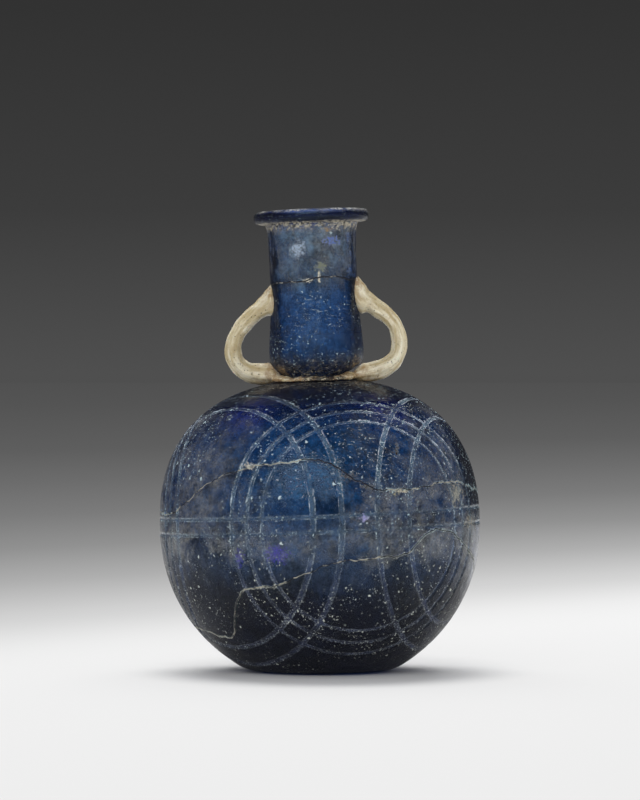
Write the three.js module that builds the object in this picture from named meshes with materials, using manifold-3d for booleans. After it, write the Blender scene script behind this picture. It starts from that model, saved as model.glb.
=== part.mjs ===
// A two-handled globular flask of blue glass with cream glass handles, broken and mended.
// The vessel's frame has its origin at the globe's centre and leans with the neck.
// Azimuth 0 is the front, towards -Y, and grows towards +X. Latitude 0 is the globe's widest ring.
import * as THREE from 'three';
import { mergeVertices } from 'three/addons/utils/BufferGeometryUtils.js';
import Module from 'manifold-3d';

const wasm = await Module();
wasm.setup();

// Sizes in millimetres and angles in degrees
const globeRadius = 52.4;
const shoulderHeight = 48.3;
const shoulderFullness = 2.4;
const baseFlattening = 5.4;
const lean = 2.3;
const clearance = 0.3;

const bellyWall = 2.6;
const shoulderWall = 2.8;
const baseWall = 3.2;
const neckWall = 2.6;

const restRingWidth = 5;
const restRoundingInside = 5.7;
const restRoundingOutside = 3.8;
const baseKick = 1.2;

const waistRadius = 10.25;
const swellRadius = 15.45;
const neckRadius = 14.25;
const neckLength = 51.3;
const neckShift = 1.15;
const neckShiftHeight = 8;

const rimRadius = 18.8;
const rimHeight = 4.4;
const rimSquareness = 2.7;

const neckBreakHeight = 32.6;
const neckBreakWave = 0.7;
const resinThickness = 0.5;

const threadWidth = 4.6;
const threadThickness = 1.2;
const threadSquareness = 0.25;

// The rod's radius, and the radius at which its edges were traced
const handleRadius = 2.35;
const tracedRadius = 2.35;
const leftHandleAzimuth = -82;
const rightHandleAzimuth = 81;

const columns = 56;

// Shares of the neck's outline: where the turn at its foot ends, and where its inside meets the mouth
const footTurnEnd = 0.14;
const mouthStart = 0.93;

// Angles on the rim's fold where its outline leaves the neck's outside and ends in the mouth
const foldStart = -80;
const foldEnd = 165;

// Each break round the globe, as the azimuth and latitude of its corners
const upperBreak = [
  [-146, 9], [-120, 14], [-95, 10], [-72, 7], [-54, 11.6], [-48, 16], [-34, 21.6], [-14, 24.6], [-4, 25.2],
  [4, 24], [13, 17.9], [22, 14], [32, 13.1], [54, 15], [76, 12], [100, 8], [130, 14], [160, 20], [186, 17],
];
const lowerBreak = [
  [-145, -37], [-110, -38], [-90, -37], [-69, -36.5], [-56, -39.5], [-45, -38.5], [-35, -24], [-29, -20],
  [-16, -18], [-3, -13.5], [9, -10.4], [32, -9.1], [38, -4], [46, -1], [58, -5], [80, -16], [105, -27],
  [130, -33], [160, -36], [190, -33],
];

// Each handle as rungs from its upper end to its foot: the outer edge and the inner edge, both as distance
// from the neck's side and height above the neck's foot, and half the depth in shares of the rod's radius
const leftHandle = [
  [-0.1, 31.8, -1.6, 31.1, 0.4], [0.7, 30.7, -1.6, 28.4, 1.1], [1.8, 29.3, -1.6, 25.2, 1.55],
  [2.9, 27.9, -1.5, 21.7, 1.45], [4.7, 26.4, 1.2, 21.6, 1.2], [7.1, 24.5, 4.2, 20, 1.1],
  [10.3, 21.5, 6.6, 17.9, 1.08], [13.3, 17.6, 8.9, 15.3, 1.08], [14.9, 14.6, 10, 13.1, 1.08],
  [15.7, 11, 10.4, 10.5, 1.1], [15.2, 7.2, 10, 8.6, 1.13], [13.5, 4, 8.9, 7.4, 1.17],
  [11.3, 1.7, 7.4, 6.6, 1.22], [8.9, 0.4, 5.5, 6.2, 1.3], [6.6, -0.3, 3.5, 6.1, 1.42],
  [4.5, -0.7, 1.6, 6.1, 1.6], [2.2, -0.9, 0.3, 5.3, 1.75], [-0.9, -0.9, -1.7, 3.3, 1.5],
];
const rightHandle = [
  [0.5, 33.3, -1.6, 32.6, 0.4], [1.2, 32.2, -1.6, 30.4, 1.05], [2.2, 30.8, -1.6, 26.8, 1.5],
  [3.2, 29.4, -1.5, 23.2, 1.45], [4.5, 27.9, 0.9, 21.2, 1.3], [6.1, 26.4, 2.8, 21.5, 1.15],
  [9, 23.9, 5.3, 19.9, 1.08], [11.6, 21.5, 7.6, 18.3, 1.08], [13.8, 18.5, 9.4, 16.4, 1.08],
  [15.1, 14.9, 10.4, 14, 1.08], [15.7, 11.2, 10.6, 11.3, 1.1], [15.1, 7.6, 10.2, 8.9, 1.13],
  [13.3, 3.9, 8.9, 7.2, 1.17], [10.9, 1.8, 6.9, 6, 1.22], [8.7, 0.5, 4.8, 5.4, 1.32],
  [6.6, -0.4, 2.7, 5.1, 1.5], [4, -1, 1.2, 5, 1.9], [1.1, -1.1, -0.6, 3.8, 2.2], [-1.6, -0.9, -2.4, 2.2, 1.7],
];

// Places that follow from the sizes
const centreHeight = globeRadius - baseFlattening;
const restRoundingMiddle = Math.sqrt(globeRadius ** 2 - centreHeight ** 2);
const restRingOuter = restRoundingMiddle - restRoundingInside;
const restRingInner = restRingOuter - restRingWidth;
const restRoundingEnd = restRoundingMiddle + restRoundingOutside;
const waistFillet = 1;
const neckFootRadius = waistRadius + waistFillet;
const neckFoot = shoulderZ(neckFootRadius);
const rimMiddle = neckFoot + neckLength + rimHeight / 2;
const mouthRadius = neckRadius + 0.35 - neckWall;

const radians = THREE.MathUtils.degToRad;
const mix = THREE.MathUtils.lerp;

// The shoulder's height at a distance from the globe's axis
function shoulderZ(radius) {
  const share = (radius / globeRadius) ** shoulderFullness;
  return shoulderHeight * (1 - share) ** (1 / shoulderFullness);
}

// The globe's outside at a latitude: a sphere below the widest ring and a fuller curve above it
function globePoint(latitude) {
  const across = Math.cos(radians(latitude));
  const up = Math.sin(radians(latitude));
  if (up <= 0) return new THREE.Vector2(across * globeRadius, up * globeRadius);
  const n = shoulderFullness;
  const reach = ((across / globeRadius) ** n + (up / shoulderHeight) ** n) ** (-1 / n);
  return new THREE.Vector2(across * reach, up * reach);
}

const neckFootLatitude = THREE.MathUtils.radToDeg(Math.atan2(neckFoot, neckFootRadius));

// The neck's outside from its foot to the rim's underside
const neckCurve = new THREE.CatmullRomCurve3([
  [0, neckFootRadius],
  [0.5, waistRadius + 0.25],
  [1.2, waistRadius],
  [2.1, mix(waistRadius, swellRadius, 0.12)],
  [3.2, mix(waistRadius, swellRadius, 0.42)],
  [4.4, mix(waistRadius, swellRadius, 0.74)],
  [6.2, mix(waistRadius, swellRadius, 0.94)],
  [9, swellRadius],
  [16, mix(swellRadius, neckRadius, 0.35)],
  [24, mix(swellRadius, neckRadius, 0.85)],
  [32, neckRadius],
  [neckLength - 7, neckRadius + 0.1],
  [neckLength - 2, neckRadius + 0.45],
  [neckLength + 0.25, neckRadius + 1],
].map(([height, radius]) => new THREE.Vector3(radius, neckFoot + height, 0)), false, 'centripetal');
neckCurve.arcLengthDivisions = 600;

function neckPoint(share) {
  const point = neckCurve.getPointAt(THREE.MathUtils.clamp(share, 0, 1));
  return new THREE.Vector2(point.x, point.y);
}

// The share of the neck's outside that lies below a height
function neckShare(height) {
  let low = 0;
  let high = 1;
  while (high - low > 1e-5) {
    const middle = (low + high) / 2;
    if (neckPoint(middle).y < height) low = middle;
    else high = middle;
  }
  return low;
}

// A point moved inwards from an outline, square to it
function inset(outline, place, depth, step) {
  const before = outline(place - step);
  const after = outline(place + step);
  const along = after.sub(before).normalize();
  return outline(place).add(new THREE.Vector2(-along.y, along.x).multiplyScalar(depth));
}

function wallAt(latitude) {
  const share = THREE.MathUtils.smoothstep(latitude, 0, 60);
  return mix(bellyWall, shoulderWall, share);
}

const globeInside = (latitude) => inset(globePoint, latitude, wallAt(latitude), 0.01);

function neckInside(share) {
  const wall = mix(shoulderWall, neckWall, THREE.MathUtils.smoothstep(share, 0, footTurnEnd));
  return inset(neckPoint, share, wall, 0.001);
}

// A smooth closed line through corners given as azimuth and value
function breakLine(corners) {
  const count = corners.length;
  const corner = (index) => {
    const turns = Math.floor(index / count);
    const [azimuth, value] = corners[index - turns * count];
    return [azimuth + 360 * turns, value];
  };
  const slope = (index) => {
    const [beforeAzimuth, before] = corner(index - 1);
    const [afterAzimuth, after] = corner(index + 1);
    return (after - before) / (afterAzimuth - beforeAzimuth);
  };
  return (azimuth) => {
    let place = azimuth;
    while (place < corners[0][0]) place += 360;
    while (place >= corners[0][0] + 360) place -= 360;
    let index = 0;
    while (corner(index + 1)[0] <= place) index += 1;
    const [startAzimuth, start] = corner(index);
    const [endAzimuth, end] = corner(index + 1);
    const span = endAzimuth - startAzimuth;
    const t = (place - startAzimuth) / span;
    const rise = slope(index) * span * (t - 2 * t ** 2 + t ** 3);
    const fall = slope(index + 1) * span * (t ** 3 - t ** 2);
    return mix(start, end, t * t * (3 - 2 * t)) + rise + fall;
  };
}

// The latitude that lies a distance above a break line, measured square to the line
function besideBreak(line, azimuth, distance) {
  const latitude = line(azimuth);
  const across = Math.cos(radians(latitude));
  const slope = (line(azimuth + 0.5) - line(azimuth - 0.5)) / across;
  const size = globePoint(latitude).length();
  return latitude + THREE.MathUtils.radToDeg(distance * Math.hypot(1, slope) / size);
}

const upperLine = breakLine(upperBreak);
const lowerLine = breakLine(lowerBreak);
const neckLine = (azimuth) => {
  const wave = Math.sin(radians(2 * azimuth + 40)) + 0.5 * Math.sin(radians(5 * azimuth));
  return neckFoot + neckBreakHeight + neckBreakWave * wave;
};

const halfResin = resinThickness / 2;
const halfBreak = halfResin + clearance;

// Evenly spaced values from one number to another, both included
function steps(from, to, count) {
  return Array.from({ length: count + 1 }, (_, index) => mix(from, to, index / count));
}

// A mesh geometry that is closed and faces outwards
function closedGeometry(positions, triangles) {
  const raw = new THREE.BufferGeometry();
  raw.setAttribute('position', new THREE.Float32BufferAttribute(positions, 3));
  raw.setIndex(triangles);
  const merged = mergeVertices(raw, 1e-4);
  const index = merged.index.array;
  const kept = [];
  for (let i = 0; i < index.length; i += 3) {
    const [a, b, c] = index.slice(i, i + 3);
    if (a !== b && b !== c && c !== a) kept.push(a, b, c);
  }
  const points = merged.attributes.position;
  const corner = (i) => new THREE.Vector3().fromBufferAttribute(points, i);
  let volume = 0;
  for (let i = 0; i < kept.length; i += 3) {
    volume += corner(kept[i]).dot(corner(kept[i + 1]).cross(corner(kept[i + 2])));
  }
  if (volume < 0) kept.reverse();
  merged.setIndex(kept);
  merged.computeVertexNormals();
  return merged;
}

// A solid swept round by closed sections, one for each azimuth
function turned(section) {
  const rings = steps(0, 360, columns).slice(0, columns).map(section);
  const count = rings[0].length;
  const positions = rings.flat().flatMap((point) => point.toArray());
  const triangles = [];
  for (let i = 0; i < columns; i += 1) {
    for (let j = 0; j < count; j += 1) {
      const a = i * count + j;
      const b = i * count + (j + 1) % count;
      const c = ((i + 1) % columns) * count + (j + 1) % count;
      const d = ((i + 1) % columns) * count + j;
      triangles.push(a, b, c, a, c, d);
    }
  }
  return closedGeometry(positions, triangles);
}

// The neck's axis stands beside the globe's, and reaches its place a little above the foot
function axisShift(height) {
  return neckShift * THREE.MathUtils.smoothstep(height, neckFoot, neckFoot + neckShiftHeight);
}

// A profile point turned to an azimuth about the globe's axis, and about the vessel's shifted one
function spun(point, azimuth) {
  const angle = radians(azimuth);
  return new THREE.Vector3(point.x * Math.sin(angle), -point.x * Math.cos(angle), point.y);
}

function around(point, azimuth) {
  const placed = spun(point, azimuth);
  placed.x += axisShift(point.y);
  return placed;
}

// A ring of wall whose outside and inside are outlines of the same place
function wallRing(section) {
  return turned((azimuth) => {
    const { outside, inside } = section(azimuth);
    return [...outside, ...inside.reverse()].map((point) => around(point, azimuth));
  });
}

function bellyShard() {
  return wallRing((azimuth) => {
    const low = besideBreak(lowerLine, azimuth, halfBreak);
    const high = besideBreak(upperLine, azimuth, -halfBreak);
    const rows = steps(low, high, 8);
    return { outside: rows.map(globePoint), inside: rows.map(globeInside) };
  });
}

function shoulderShard() {
  return wallRing((azimuth) => {
    const low = besideBreak(upperLine, azimuth, halfBreak);
    const high = neckShare(neckLine(azimuth) - halfBreak);
    const shoulderRows = steps(low, neckFootLatitude, 8).slice(0, -1);
    const neckRows = steps(0, footTurnEnd, 6).slice(0, -1).concat(steps(footTurnEnd, high, 6));
    return {
      outside: [...shoulderRows.map(globePoint), ...neckRows.map(neckPoint)],
      inside: [...shoulderRows.map(globeInside), ...neckRows.map(neckInside)],
    };
  });
}

// The rim's rounded fold, from its underside round to the mouth
function rimPoint(angle) {
  const half = (rimRadius - mouthRadius) / 2;
  const across = Math.cos(radians(angle));
  const up = Math.sin(radians(angle));
  const reach = (Math.abs(across) ** rimSquareness + Math.abs(up) ** rimSquareness) ** (-1 / rimSquareness);
  const fold = new THREE.Vector2(half * across, rimHeight / 2 * up).multiplyScalar(reach);
  return fold.add(new THREE.Vector2(mouthRadius + half, rimMiddle));
}

function upperNeckShard() {
  return wallRing((azimuth) => {
    const low = neckShare(neckLine(azimuth) + halfBreak);
    const rows = steps(low, 1, 5);
    const inner = steps(low, mouthStart, 5);
    return {
      outside: [...rows.map(neckPoint), ...steps(foldStart, foldEnd, 10).map(rimPoint)],
      inside: inner.map(neckInside),
    };
  });
}

// The globe's bottom, pushed in to a resting ring round a low kick
function baseZ(radius) {
  if (radius <= restRingInner) return baseKick * (1 - (radius / restRingInner) ** 2) ** 2;
  if (radius <= restRingOuter) return 0;
  const height = Math.sqrt(globeRadius ** 2 - restRoundingEnd ** 2);
  const width = restRoundingEnd - restRingOuter;
  const t = (radius - restRingOuter) / width;
  const end = centreHeight - height;
  const slope = restRoundingEnd / height;
  return end * t * t * (3 - 2 * t) + slope * width * (t ** 3 - t ** 2);
}

// The bowl stands upright on the table, and its broken edge follows the leaning belly
function bowlShard() {
  const tilt = new THREE.Matrix4().makeRotationY(-radians(lean));
  const radii = [
    ...steps(0, restRingInner, 4), ...steps(restRingInner, restRingOuter, 2).slice(1),
    ...steps(restRingOuter, restRoundingEnd, 4).slice(1),
  ];
  return turned((azimuth) => {
    const angle = radians(azimuth);
    const side = new THREE.Vector3(Math.sin(angle), -Math.cos(angle), 0);
    const placed = (radius, height) => side.clone().multiplyScalar(radius).setZ(height - centreHeight);
    const floor = radii.map((radius) => placed(radius, baseZ(radius)));
    const start = floor[floor.length - 1].clone().normalize();
    const edge = globePoint(besideBreak(lowerLine, azimuth, -halfBreak));
    const end = around(edge, azimuth).normalize().applyMatrix4(tilt);
    const rows = steps(0, 1, 7).slice(1).map((t) => {
      const turn = new THREE.Quaternion().setFromUnitVectors(start, end);
      return start.clone().applyQuaternion(new THREE.Quaternion().slerp(turn, t));
    });
    const outside = [...floor, ...rows.map((way) => way.clone().multiplyScalar(globeRadius))];
    const innerFloor = floor.map((point) => {
      const radius = Math.hypot(point.x, point.y);
      const share = THREE.MathUtils.smoothstep(radius, restRingOuter, restRoundingEnd);
      const inwards = point.clone().normalize().lerp(new THREE.Vector3(0, 0, -1), 1 - share).normalize();
      return point.clone().sub(inwards.multiplyScalar(baseWall));
    });
    const inner = rows.map((way, index) => {
      const wall = mix(baseWall, bellyWall, (index + 1) / rows.length);
      return way.clone().multiplyScalar(globeRadius - wall);
    });
    return [...outside, ...[...innerFloor, ...inner].reverse()];
  });
}

// A thin seam of resin that fills a break, clear of both its faces
function globeSeam(line) {
  return wallRing((azimuth) => {
    const rows = steps(besideBreak(line, azimuth, -halfResin), besideBreak(line, azimuth, halfResin), 1);
    return { outside: rows.map(globePoint), inside: rows.map(globeInside) };
  });
}

function neckSeam() {
  return wallRing((azimuth) => {
    const height = neckLine(azimuth);
    const rows = [neckShare(height - halfResin), neckShare(height + halfResin)];
    return { outside: rows.map(neckPoint), inside: rows.map(neckInside) };
  });
}

// The cream thread lies on the shoulder round the neck's foot; a grown one cuts the handles' feet
function threadRing(grown) {
  const inner = neckFootRadius + clearance - grown;
  const width = threadWidth + 2 * grown;
  const shares = steps(0, 1, 5);
  return turned((azimuth) => {
    const radii = shares.map((share) => inner + width * share);
    const seat = clearance - 2 * grown;
    const bottom = radii.map((radius) => new THREE.Vector2(radius, shoulderZ(radius) + seat));
    const top = radii.map((radius, index) => {
      const bulge = mix(Math.sqrt(1 - (2 * shares[index] - 1) ** 2), 1, threadSquareness);
      return new THREE.Vector2(radius, shoulderZ(radius) + clearance + grown + threadThickness * bulge);
    });
    return [...bottom, ...top.reverse()].map((point) => spun(point, azimuth));
  });
}

// The vessel's outside and a clearance, as one solid that the handles are cut to
function vesselEnvelope() {
  const shoulder = steps(30, neckFootLatitude, 14).slice(0, -1)
    .map((latitude) => inset(globePoint, latitude, -clearance, 0.01));
  const neck = steps(0, footTurnEnd, 10).slice(0, -1).concat(steps(footTurnEnd, mouthStart, 16))
    .map((share) => inset(neckPoint, share, -clearance, 0.001));
  const outline = [...shoulder, ...neck];
  const bottom = new THREE.Vector2(0, outline[0].y);
  const top = new THREE.Vector2(0, outline[outline.length - 1].y);
  return turned((azimuth) => [bottom, ...outline, top].map((point) => around(point, azimuth)));
}

// A rod with an oval section on each rung
function handleRod(rungs, azimuth) {
  const side = new THREE.Vector3(Math.sin(radians(azimuth)), -Math.cos(radians(azimuth)), 0);
  const across = new THREE.Vector3(-side.y, side.x, 0);
  const scale = handleRadius / tracedRadius;
  const middles = new THREE.CatmullRomCurve3(rungs.map(([outerOut, outerUp, innerOut, innerUp]) => (
    new THREE.Vector3((outerOut + innerOut) / 2, (outerUp + innerUp) / 2, 0))));
  const widths = new THREE.CatmullRomCurve3(rungs.map(([outerOut, outerUp, innerOut, innerUp, depth]) => (
    new THREE.Vector3((innerOut - outerOut) / 2, (innerUp - outerUp) / 2, depth * tracedRadius))));
  const rings = steps(0, 1, 36).map((t) => {
    const middle = middles.getPoint(t);
    const width = widths.getPoint(t).multiplyScalar(scale);
    return steps(0, 2 * Math.PI, 14).slice(0, -1).map((turn) => {
      const out = neckRadius + middle.x - Math.cos(turn) * width.x;
      const up = neckFoot + middle.y - Math.cos(turn) * width.y;
      const place = new THREE.Vector3(neckShift, 0, up);
      return place.addScaledVector(side, out).addScaledVector(across, Math.sin(turn) * width.z);
    });
  });
  const count = rings[0].length;
  const centre = (ring) => {
    const sum = ring.reduce((total, point) => total.add(point), new THREE.Vector3());
    return sum.divideScalar(count);
  };
  const points = [...rings.flat(), centre(rings[0]), centre(rings[rings.length - 1])];
  const triangles = [];
  for (let i = 0; i < rings.length - 1; i += 1) {
    for (let j = 0; j < count; j += 1) {
      const next = (j + 1) % count;
      const a = i * count + j;
      const b = i * count + next;
      triangles.push(a, b, b + count, a, b + count, a + count);
    }
  }
  const last = (rings.length - 1) * count;
  for (let j = 0; j < count; j += 1) {
    const next = (j + 1) % count;
    triangles.push(points.length - 2, next, j, points.length - 1, last + j, last + next);
  }
  return closedGeometry(points.flatMap((point) => point.toArray()), triangles);
}

// Conversion between three.js geometry and manifold solids
function toSolid(geometry) {
  const bare = geometry.clone();
  bare.deleteAttribute('normal');
  const merged = mergeVertices(bare, 1e-4);
  return new wasm.Manifold(new wasm.Mesh({
    numProp: 3,
    vertProperties: new Float32Array(merged.attributes.position.array),
    triVerts: new Uint32Array(merged.index.array),
  }));
}

function toGeometry(solid) {
  const mesh = solid.getMesh();
  const geometry = new THREE.BufferGeometry();
  geometry.setAttribute('position', new THREE.BufferAttribute(mesh.vertProperties, 3));
  geometry.setIndex(new THREE.BufferAttribute(mesh.triVerts, 1));
  geometry.computeVertexNormals();
  return geometry;
}

const keepOut = toSolid(vesselEnvelope()).add(toSolid(threadRing(clearance)));

// The rod outside the vessel; the ends that reach into the neck and the shoulder fall away
function handle(rungs, azimuth) {
  const pieces = toSolid(handleRod(rungs, azimuth)).subtract(keepOut).decompose();
  pieces.sort((a, b) => b.volume() - a.volume());
  return toGeometry(pieces[0]);
}

function material(colour, roughness, opacity = 1) {
  return new THREE.MeshStandardMaterial({
    color: colour, roughness, metalness: 0, opacity, transparent: opacity < 1,
  });
}

const blueGlass = () => material(0x1c3a78, 0.18, 0.85);
const creamGlass = () => material(0xc9bb93, 0.42);
const agedResin = () => material(0xa8a18c, 0.7);

function named(name, geometry, finish) {
  const mesh = new THREE.Mesh(geometry, finish);
  mesh.name = name;
  return mesh;
}

// Everything but the bowl stands on the leaning axis
const upright = new THREE.Group();
upright.add(named('bowl_shard', bowlShard(), blueGlass()));

const leaning = new THREE.Group();
leaning.rotation.y = -radians(lean);
leaning.add(
  named('belly_shard', bellyShard(), blueGlass()),
  named('shoulder_shard', shoulderShard(), blueGlass()),
  named('upper_neck_shard', upperNeckShard(), blueGlass()),
  named('handle_left', handle(leftHandle, leftHandleAzimuth), creamGlass()),
  named('handle_right', handle(rightHandle, rightHandleAzimuth), creamGlass()),
  named('neck_foot_thread', threadRing(0), creamGlass()),
  named('lower_seam_resin', globeSeam(lowerLine), agedResin()),
  named('upper_seam_resin', globeSeam(upperLine), agedResin()),
  named('neck_seam_resin', neckSeam(), agedResin()),
);

const flask = new THREE.Group();
flask.add(upright, leaning);
flask.position.z = centreHeight;

export default flask;
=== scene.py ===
# The looks of the two-handled flask: blue glass shards with wheel-cut rings, cream handles and aged seams.
# Sizes are in millimetres and degrees, in the vessel's frame: its origin is the globe's centre and it leans
# with the neck. Azimuth 0 is the front, towards -Y, and grows towards +X.
import math

import bpy
import numpy as np
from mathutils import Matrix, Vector


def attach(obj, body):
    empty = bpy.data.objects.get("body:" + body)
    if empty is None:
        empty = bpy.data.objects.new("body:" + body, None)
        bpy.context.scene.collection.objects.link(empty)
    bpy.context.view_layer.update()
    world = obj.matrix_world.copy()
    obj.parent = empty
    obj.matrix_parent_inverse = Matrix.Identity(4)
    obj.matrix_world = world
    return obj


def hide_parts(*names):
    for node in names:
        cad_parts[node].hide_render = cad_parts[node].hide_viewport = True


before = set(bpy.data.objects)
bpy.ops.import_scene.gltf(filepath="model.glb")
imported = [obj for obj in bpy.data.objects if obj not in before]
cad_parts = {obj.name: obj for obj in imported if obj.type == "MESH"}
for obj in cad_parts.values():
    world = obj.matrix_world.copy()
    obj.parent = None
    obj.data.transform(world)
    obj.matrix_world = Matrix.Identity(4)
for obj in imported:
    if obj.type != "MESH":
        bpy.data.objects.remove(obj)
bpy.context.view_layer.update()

# Sizes that the construction has too
GLOBE_RADIUS = 52.4
SHOULDER_HEIGHT = 48.3
SHOULDER_FULLNESS = 2.4
BASE_FLATTENING = 5.4
LEAN = 2.3
BELLY_WALL = 2.6
SHOULDER_WALL = 2.8
BASE_WALL = 3.2
NECK_WALL = 2.6
REST_RING_WIDTH = 5.0
REST_ROUNDING_INSIDE = 5.7
REST_ROUNDING_OUTSIDE = 3.8
BASE_KICK = 1.2
WAIST_RADIUS = 10.25
WAIST_FILLET = 1.0
SWELL_RADIUS = 15.45
NECK_RADIUS = 14.25
NECK_LENGTH = 51.3
NECK_SHIFT = 1.15
NECK_SHIFT_HEIGHT = 8.0
RIM_RADIUS = 18.8
RIM_HEIGHT = 4.4
RIM_SQUARENESS = 2.7
NECK_BREAK_HEIGHT = 32.6
NECK_BREAK_WAVE = 0.7
HANDLE_RADIUS = 2.35
CENTRE_HEIGHT = GLOBE_RADIUS - BASE_FLATTENING

# How far the looks stay inside the construction's outline, and how deep the waver goes from there
SKIN = 0.03
WAVER = 0.16
# Half the width of a break, and of the seam in it
HALF_BREAK = 0.22
HALF_SEAM = 0.20
# How deep the four rows of a globe seam's outer face lie below the skin, at least, and how much that wavers
SEAM_DEPTHS = (0.25, 0.12, 0.12, 0.25)
SEAM_LEAST = 0.05
SEAM_WAVER = 0.06
NECK_SEAM_DEPTH = 0.22

UPPER_BREAK = [
    (-146, 9), (-120, 14), (-95, 10), (-72, 7), (-54, 11.6), (-48, 16), (-34, 21.6), (-14, 24.6),
    (-4, 25.2), (4, 24), (13, 17.9), (22, 14), (32, 13.1), (54, 15), (76, 12), (100, 8), (130, 14),
    (160, 20), (186, 17),
]
LOWER_BREAK = [
    (-145, -37), (-110, -38), (-90, -37), (-69, -36.5), (-56, -39.5), (-45, -38.5), (-35, -24), (-29, -20),
    (-16, -18), (-3, -13.5), (9, -10.4), (32, -9.1), (38, -4), (46, -1), (58, -5), (80, -16), (105, -27),
    (130, -33), (160, -36), (190, -33),
]
# A hairline that leaves the upper break and climbs the shoulder
HAIRLINE = [(10, 40.1), (19, 34.3), (24, 30.2), (32, 25.7), (40, 22), (44, 20.3), (54, 15)]

# The handles' rungs, from the neck down to the foot, each measured from the neck's side and foot: out and up
# of the outer edge, out and up of the inner edge, and half the thickness from front to back in rod radii
LEFT_HANDLE = [
    (-0.1, 31.8, -1.6, 31.1, 0.4), (0.7, 30.7, -1.6, 28.4, 1.1), (1.8, 29.3, -1.6, 25.2, 1.55),
    (2.9, 27.9, -1.5, 21.7, 1.45), (4.7, 26.4, 1.2, 21.6, 1.2), (7.1, 24.5, 4.2, 20, 1.1),
    (10.3, 21.5, 6.6, 17.9, 1.08), (13.3, 17.6, 8.9, 15.3, 1.08), (14.9, 14.6, 10, 13.1, 1.08),
    (15.7, 11, 10.4, 10.5, 1.1), (15.2, 7.2, 10, 8.6, 1.13), (13.5, 4, 8.9, 7.4, 1.17),
    (11.3, 1.7, 7.4, 6.6, 1.22), (8.9, 0.4, 5.5, 6.2, 1.3), (6.6, -0.3, 3.5, 6.1, 1.42),
    (4.5, -0.7, 1.6, 6.1, 1.6), (2.2, -0.9, 0.3, 5.3, 1.75), (-0.9, -0.9, -1.7, 3.3, 1.5),
]
RIGHT_HANDLE = [
    (0.5, 33.3, -1.6, 32.6, 0.4), (1.2, 32.2, -1.6, 30.4, 1.05), (2.2, 30.8, -1.6, 26.8, 1.5),
    (3.2, 29.4, -1.5, 23.2, 1.45), (4.5, 27.9, 0.9, 21.2, 1.3), (6.1, 26.4, 2.8, 21.5, 1.15),
    (9, 23.9, 5.3, 19.9, 1.08), (11.6, 21.5, 7.6, 18.3, 1.08), (13.8, 18.5, 9.4, 16.4, 1.08),
    (15.1, 14.9, 10.4, 14, 1.08), (15.7, 11.2, 10.6, 11.3, 1.1), (15.1, 7.6, 10.2, 8.9, 1.13),
    (13.3, 3.9, 8.9, 7.2, 1.17), (10.9, 1.8, 6.9, 6, 1.22), (8.7, 0.5, 4.8, 5.4, 1.32),
    (6.6, -0.4, 2.7, 5.1, 1.5), (4, -1, 1.2, 5, 1.9), (1.1, -1.1, -0.6, 3.8, 2.2),
    (-1.6, -0.9, -2.4, 2.2, 1.7),
]
LEFT_AZIMUTH = -82
RIGHT_AZIMUTH = 81

# Wheel-cut rings: azimuth and latitude of each set's middle, the radii of its rings as angles seen from the
# globe's centre, and half the width of a cut
RING_SETS = [
    (17.5, 0.0, (38.5, 44.1, 50.2), 0.8),
    (-111.0, 0.0, (38.5, 44.1, 50.2), 0.8),
    (141.0, 0.0, (38.5, 44.1, 50.2), 0.8),
    (-49.0, 1.8, (46.9, 56.9), 1.0),
    (71.3, 0.0, (38.5, 50.9), 0.9),
    (195.0, 0.0, (42.0, 53.0), 0.9),
]
# Heights of the two lines cut round the widest part, and half their width
BELT_HEIGHTS = (4.8, -0.2)
BELT_HALF_WIDTH = 0.6
# How deep a cut goes, and the height above which there is none
CUT_DEPTH = 0.36
CUTS_END = 44
# A distance that counts as nowhere near a cut, a stain or the hairline
FAR = 9.0


def rise(value, low, high):
    """A smooth step from 0 to 1 as value goes from low to high, which may be the smaller."""
    t = np.clip((value - low) / (high - low), 0, 1)
    return t * t * (3 - 2 * t)


def mix(a, b, share):
    return a + (b - a) * share


def closed_curve(corners, wobble, seed):
    """A smooth periodic function of azimuth through corners, with a small seeded waver."""
    places = np.array([c[0] for c in corners], float)
    values = np.array([c[1] for c in corners], float)
    places = np.concatenate([places[-2:] - 360, places, places[:2] + 360])
    values = np.concatenate([values[-2:], values, values[:2]])
    slopes = np.zeros(len(places))
    slopes[1:-1] = (values[2:] - values[:-2]) / (places[2:] - places[:-2])
    draw = np.random.default_rng(seed)
    waves = [(k, wobble / (1 + 0.02 * k), draw.uniform(0, 2 * math.pi))
             for k in (13, 21, 34, 47, 71, 103, 149, 211)]

    def line(azimuth):
        start = places[1]
        place = (np.asarray(azimuth, float) - start) % 360 + start
        i = np.searchsorted(places, place, side="right") - 1
        span = places[i + 1] - places[i]
        t = (place - places[i]) / span
        bend = slopes[i] * span * (t - 2 * t**2 + t**3) + slopes[i + 1] * span * (t**3 - t**2)
        waver = sum(size * np.sin(k * np.radians(place) + phase) for k, size, phase in waves)
        return mix(values[i], values[i + 1], t * t * (3 - 2 * t)) + bend + waver

    return line


upper_line = closed_curve(UPPER_BREAK, 0.26, 11)
lower_line = closed_curve(LOWER_BREAK, 0.26, 12)


def shoulder_z(radius):
    return SHOULDER_HEIGHT * (1 - (radius / GLOBE_RADIUS) ** SHOULDER_FULLNESS) ** (1 / SHOULDER_FULLNESS)


def globe_point(latitude):
    """The globe's outside at a latitude, as distance from the axis and height."""
    across = np.cos(np.radians(latitude))
    up = np.sin(np.radians(latitude))
    n = SHOULDER_FULLNESS
    above = ((across / GLOBE_RADIUS) ** n + (np.maximum(up, 0) / SHOULDER_HEIGHT) ** n) ** (-1 / n)
    reach = np.where(up > 0, above, GLOBE_RADIUS)
    return np.stack([across * reach, up * reach], -1)


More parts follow.
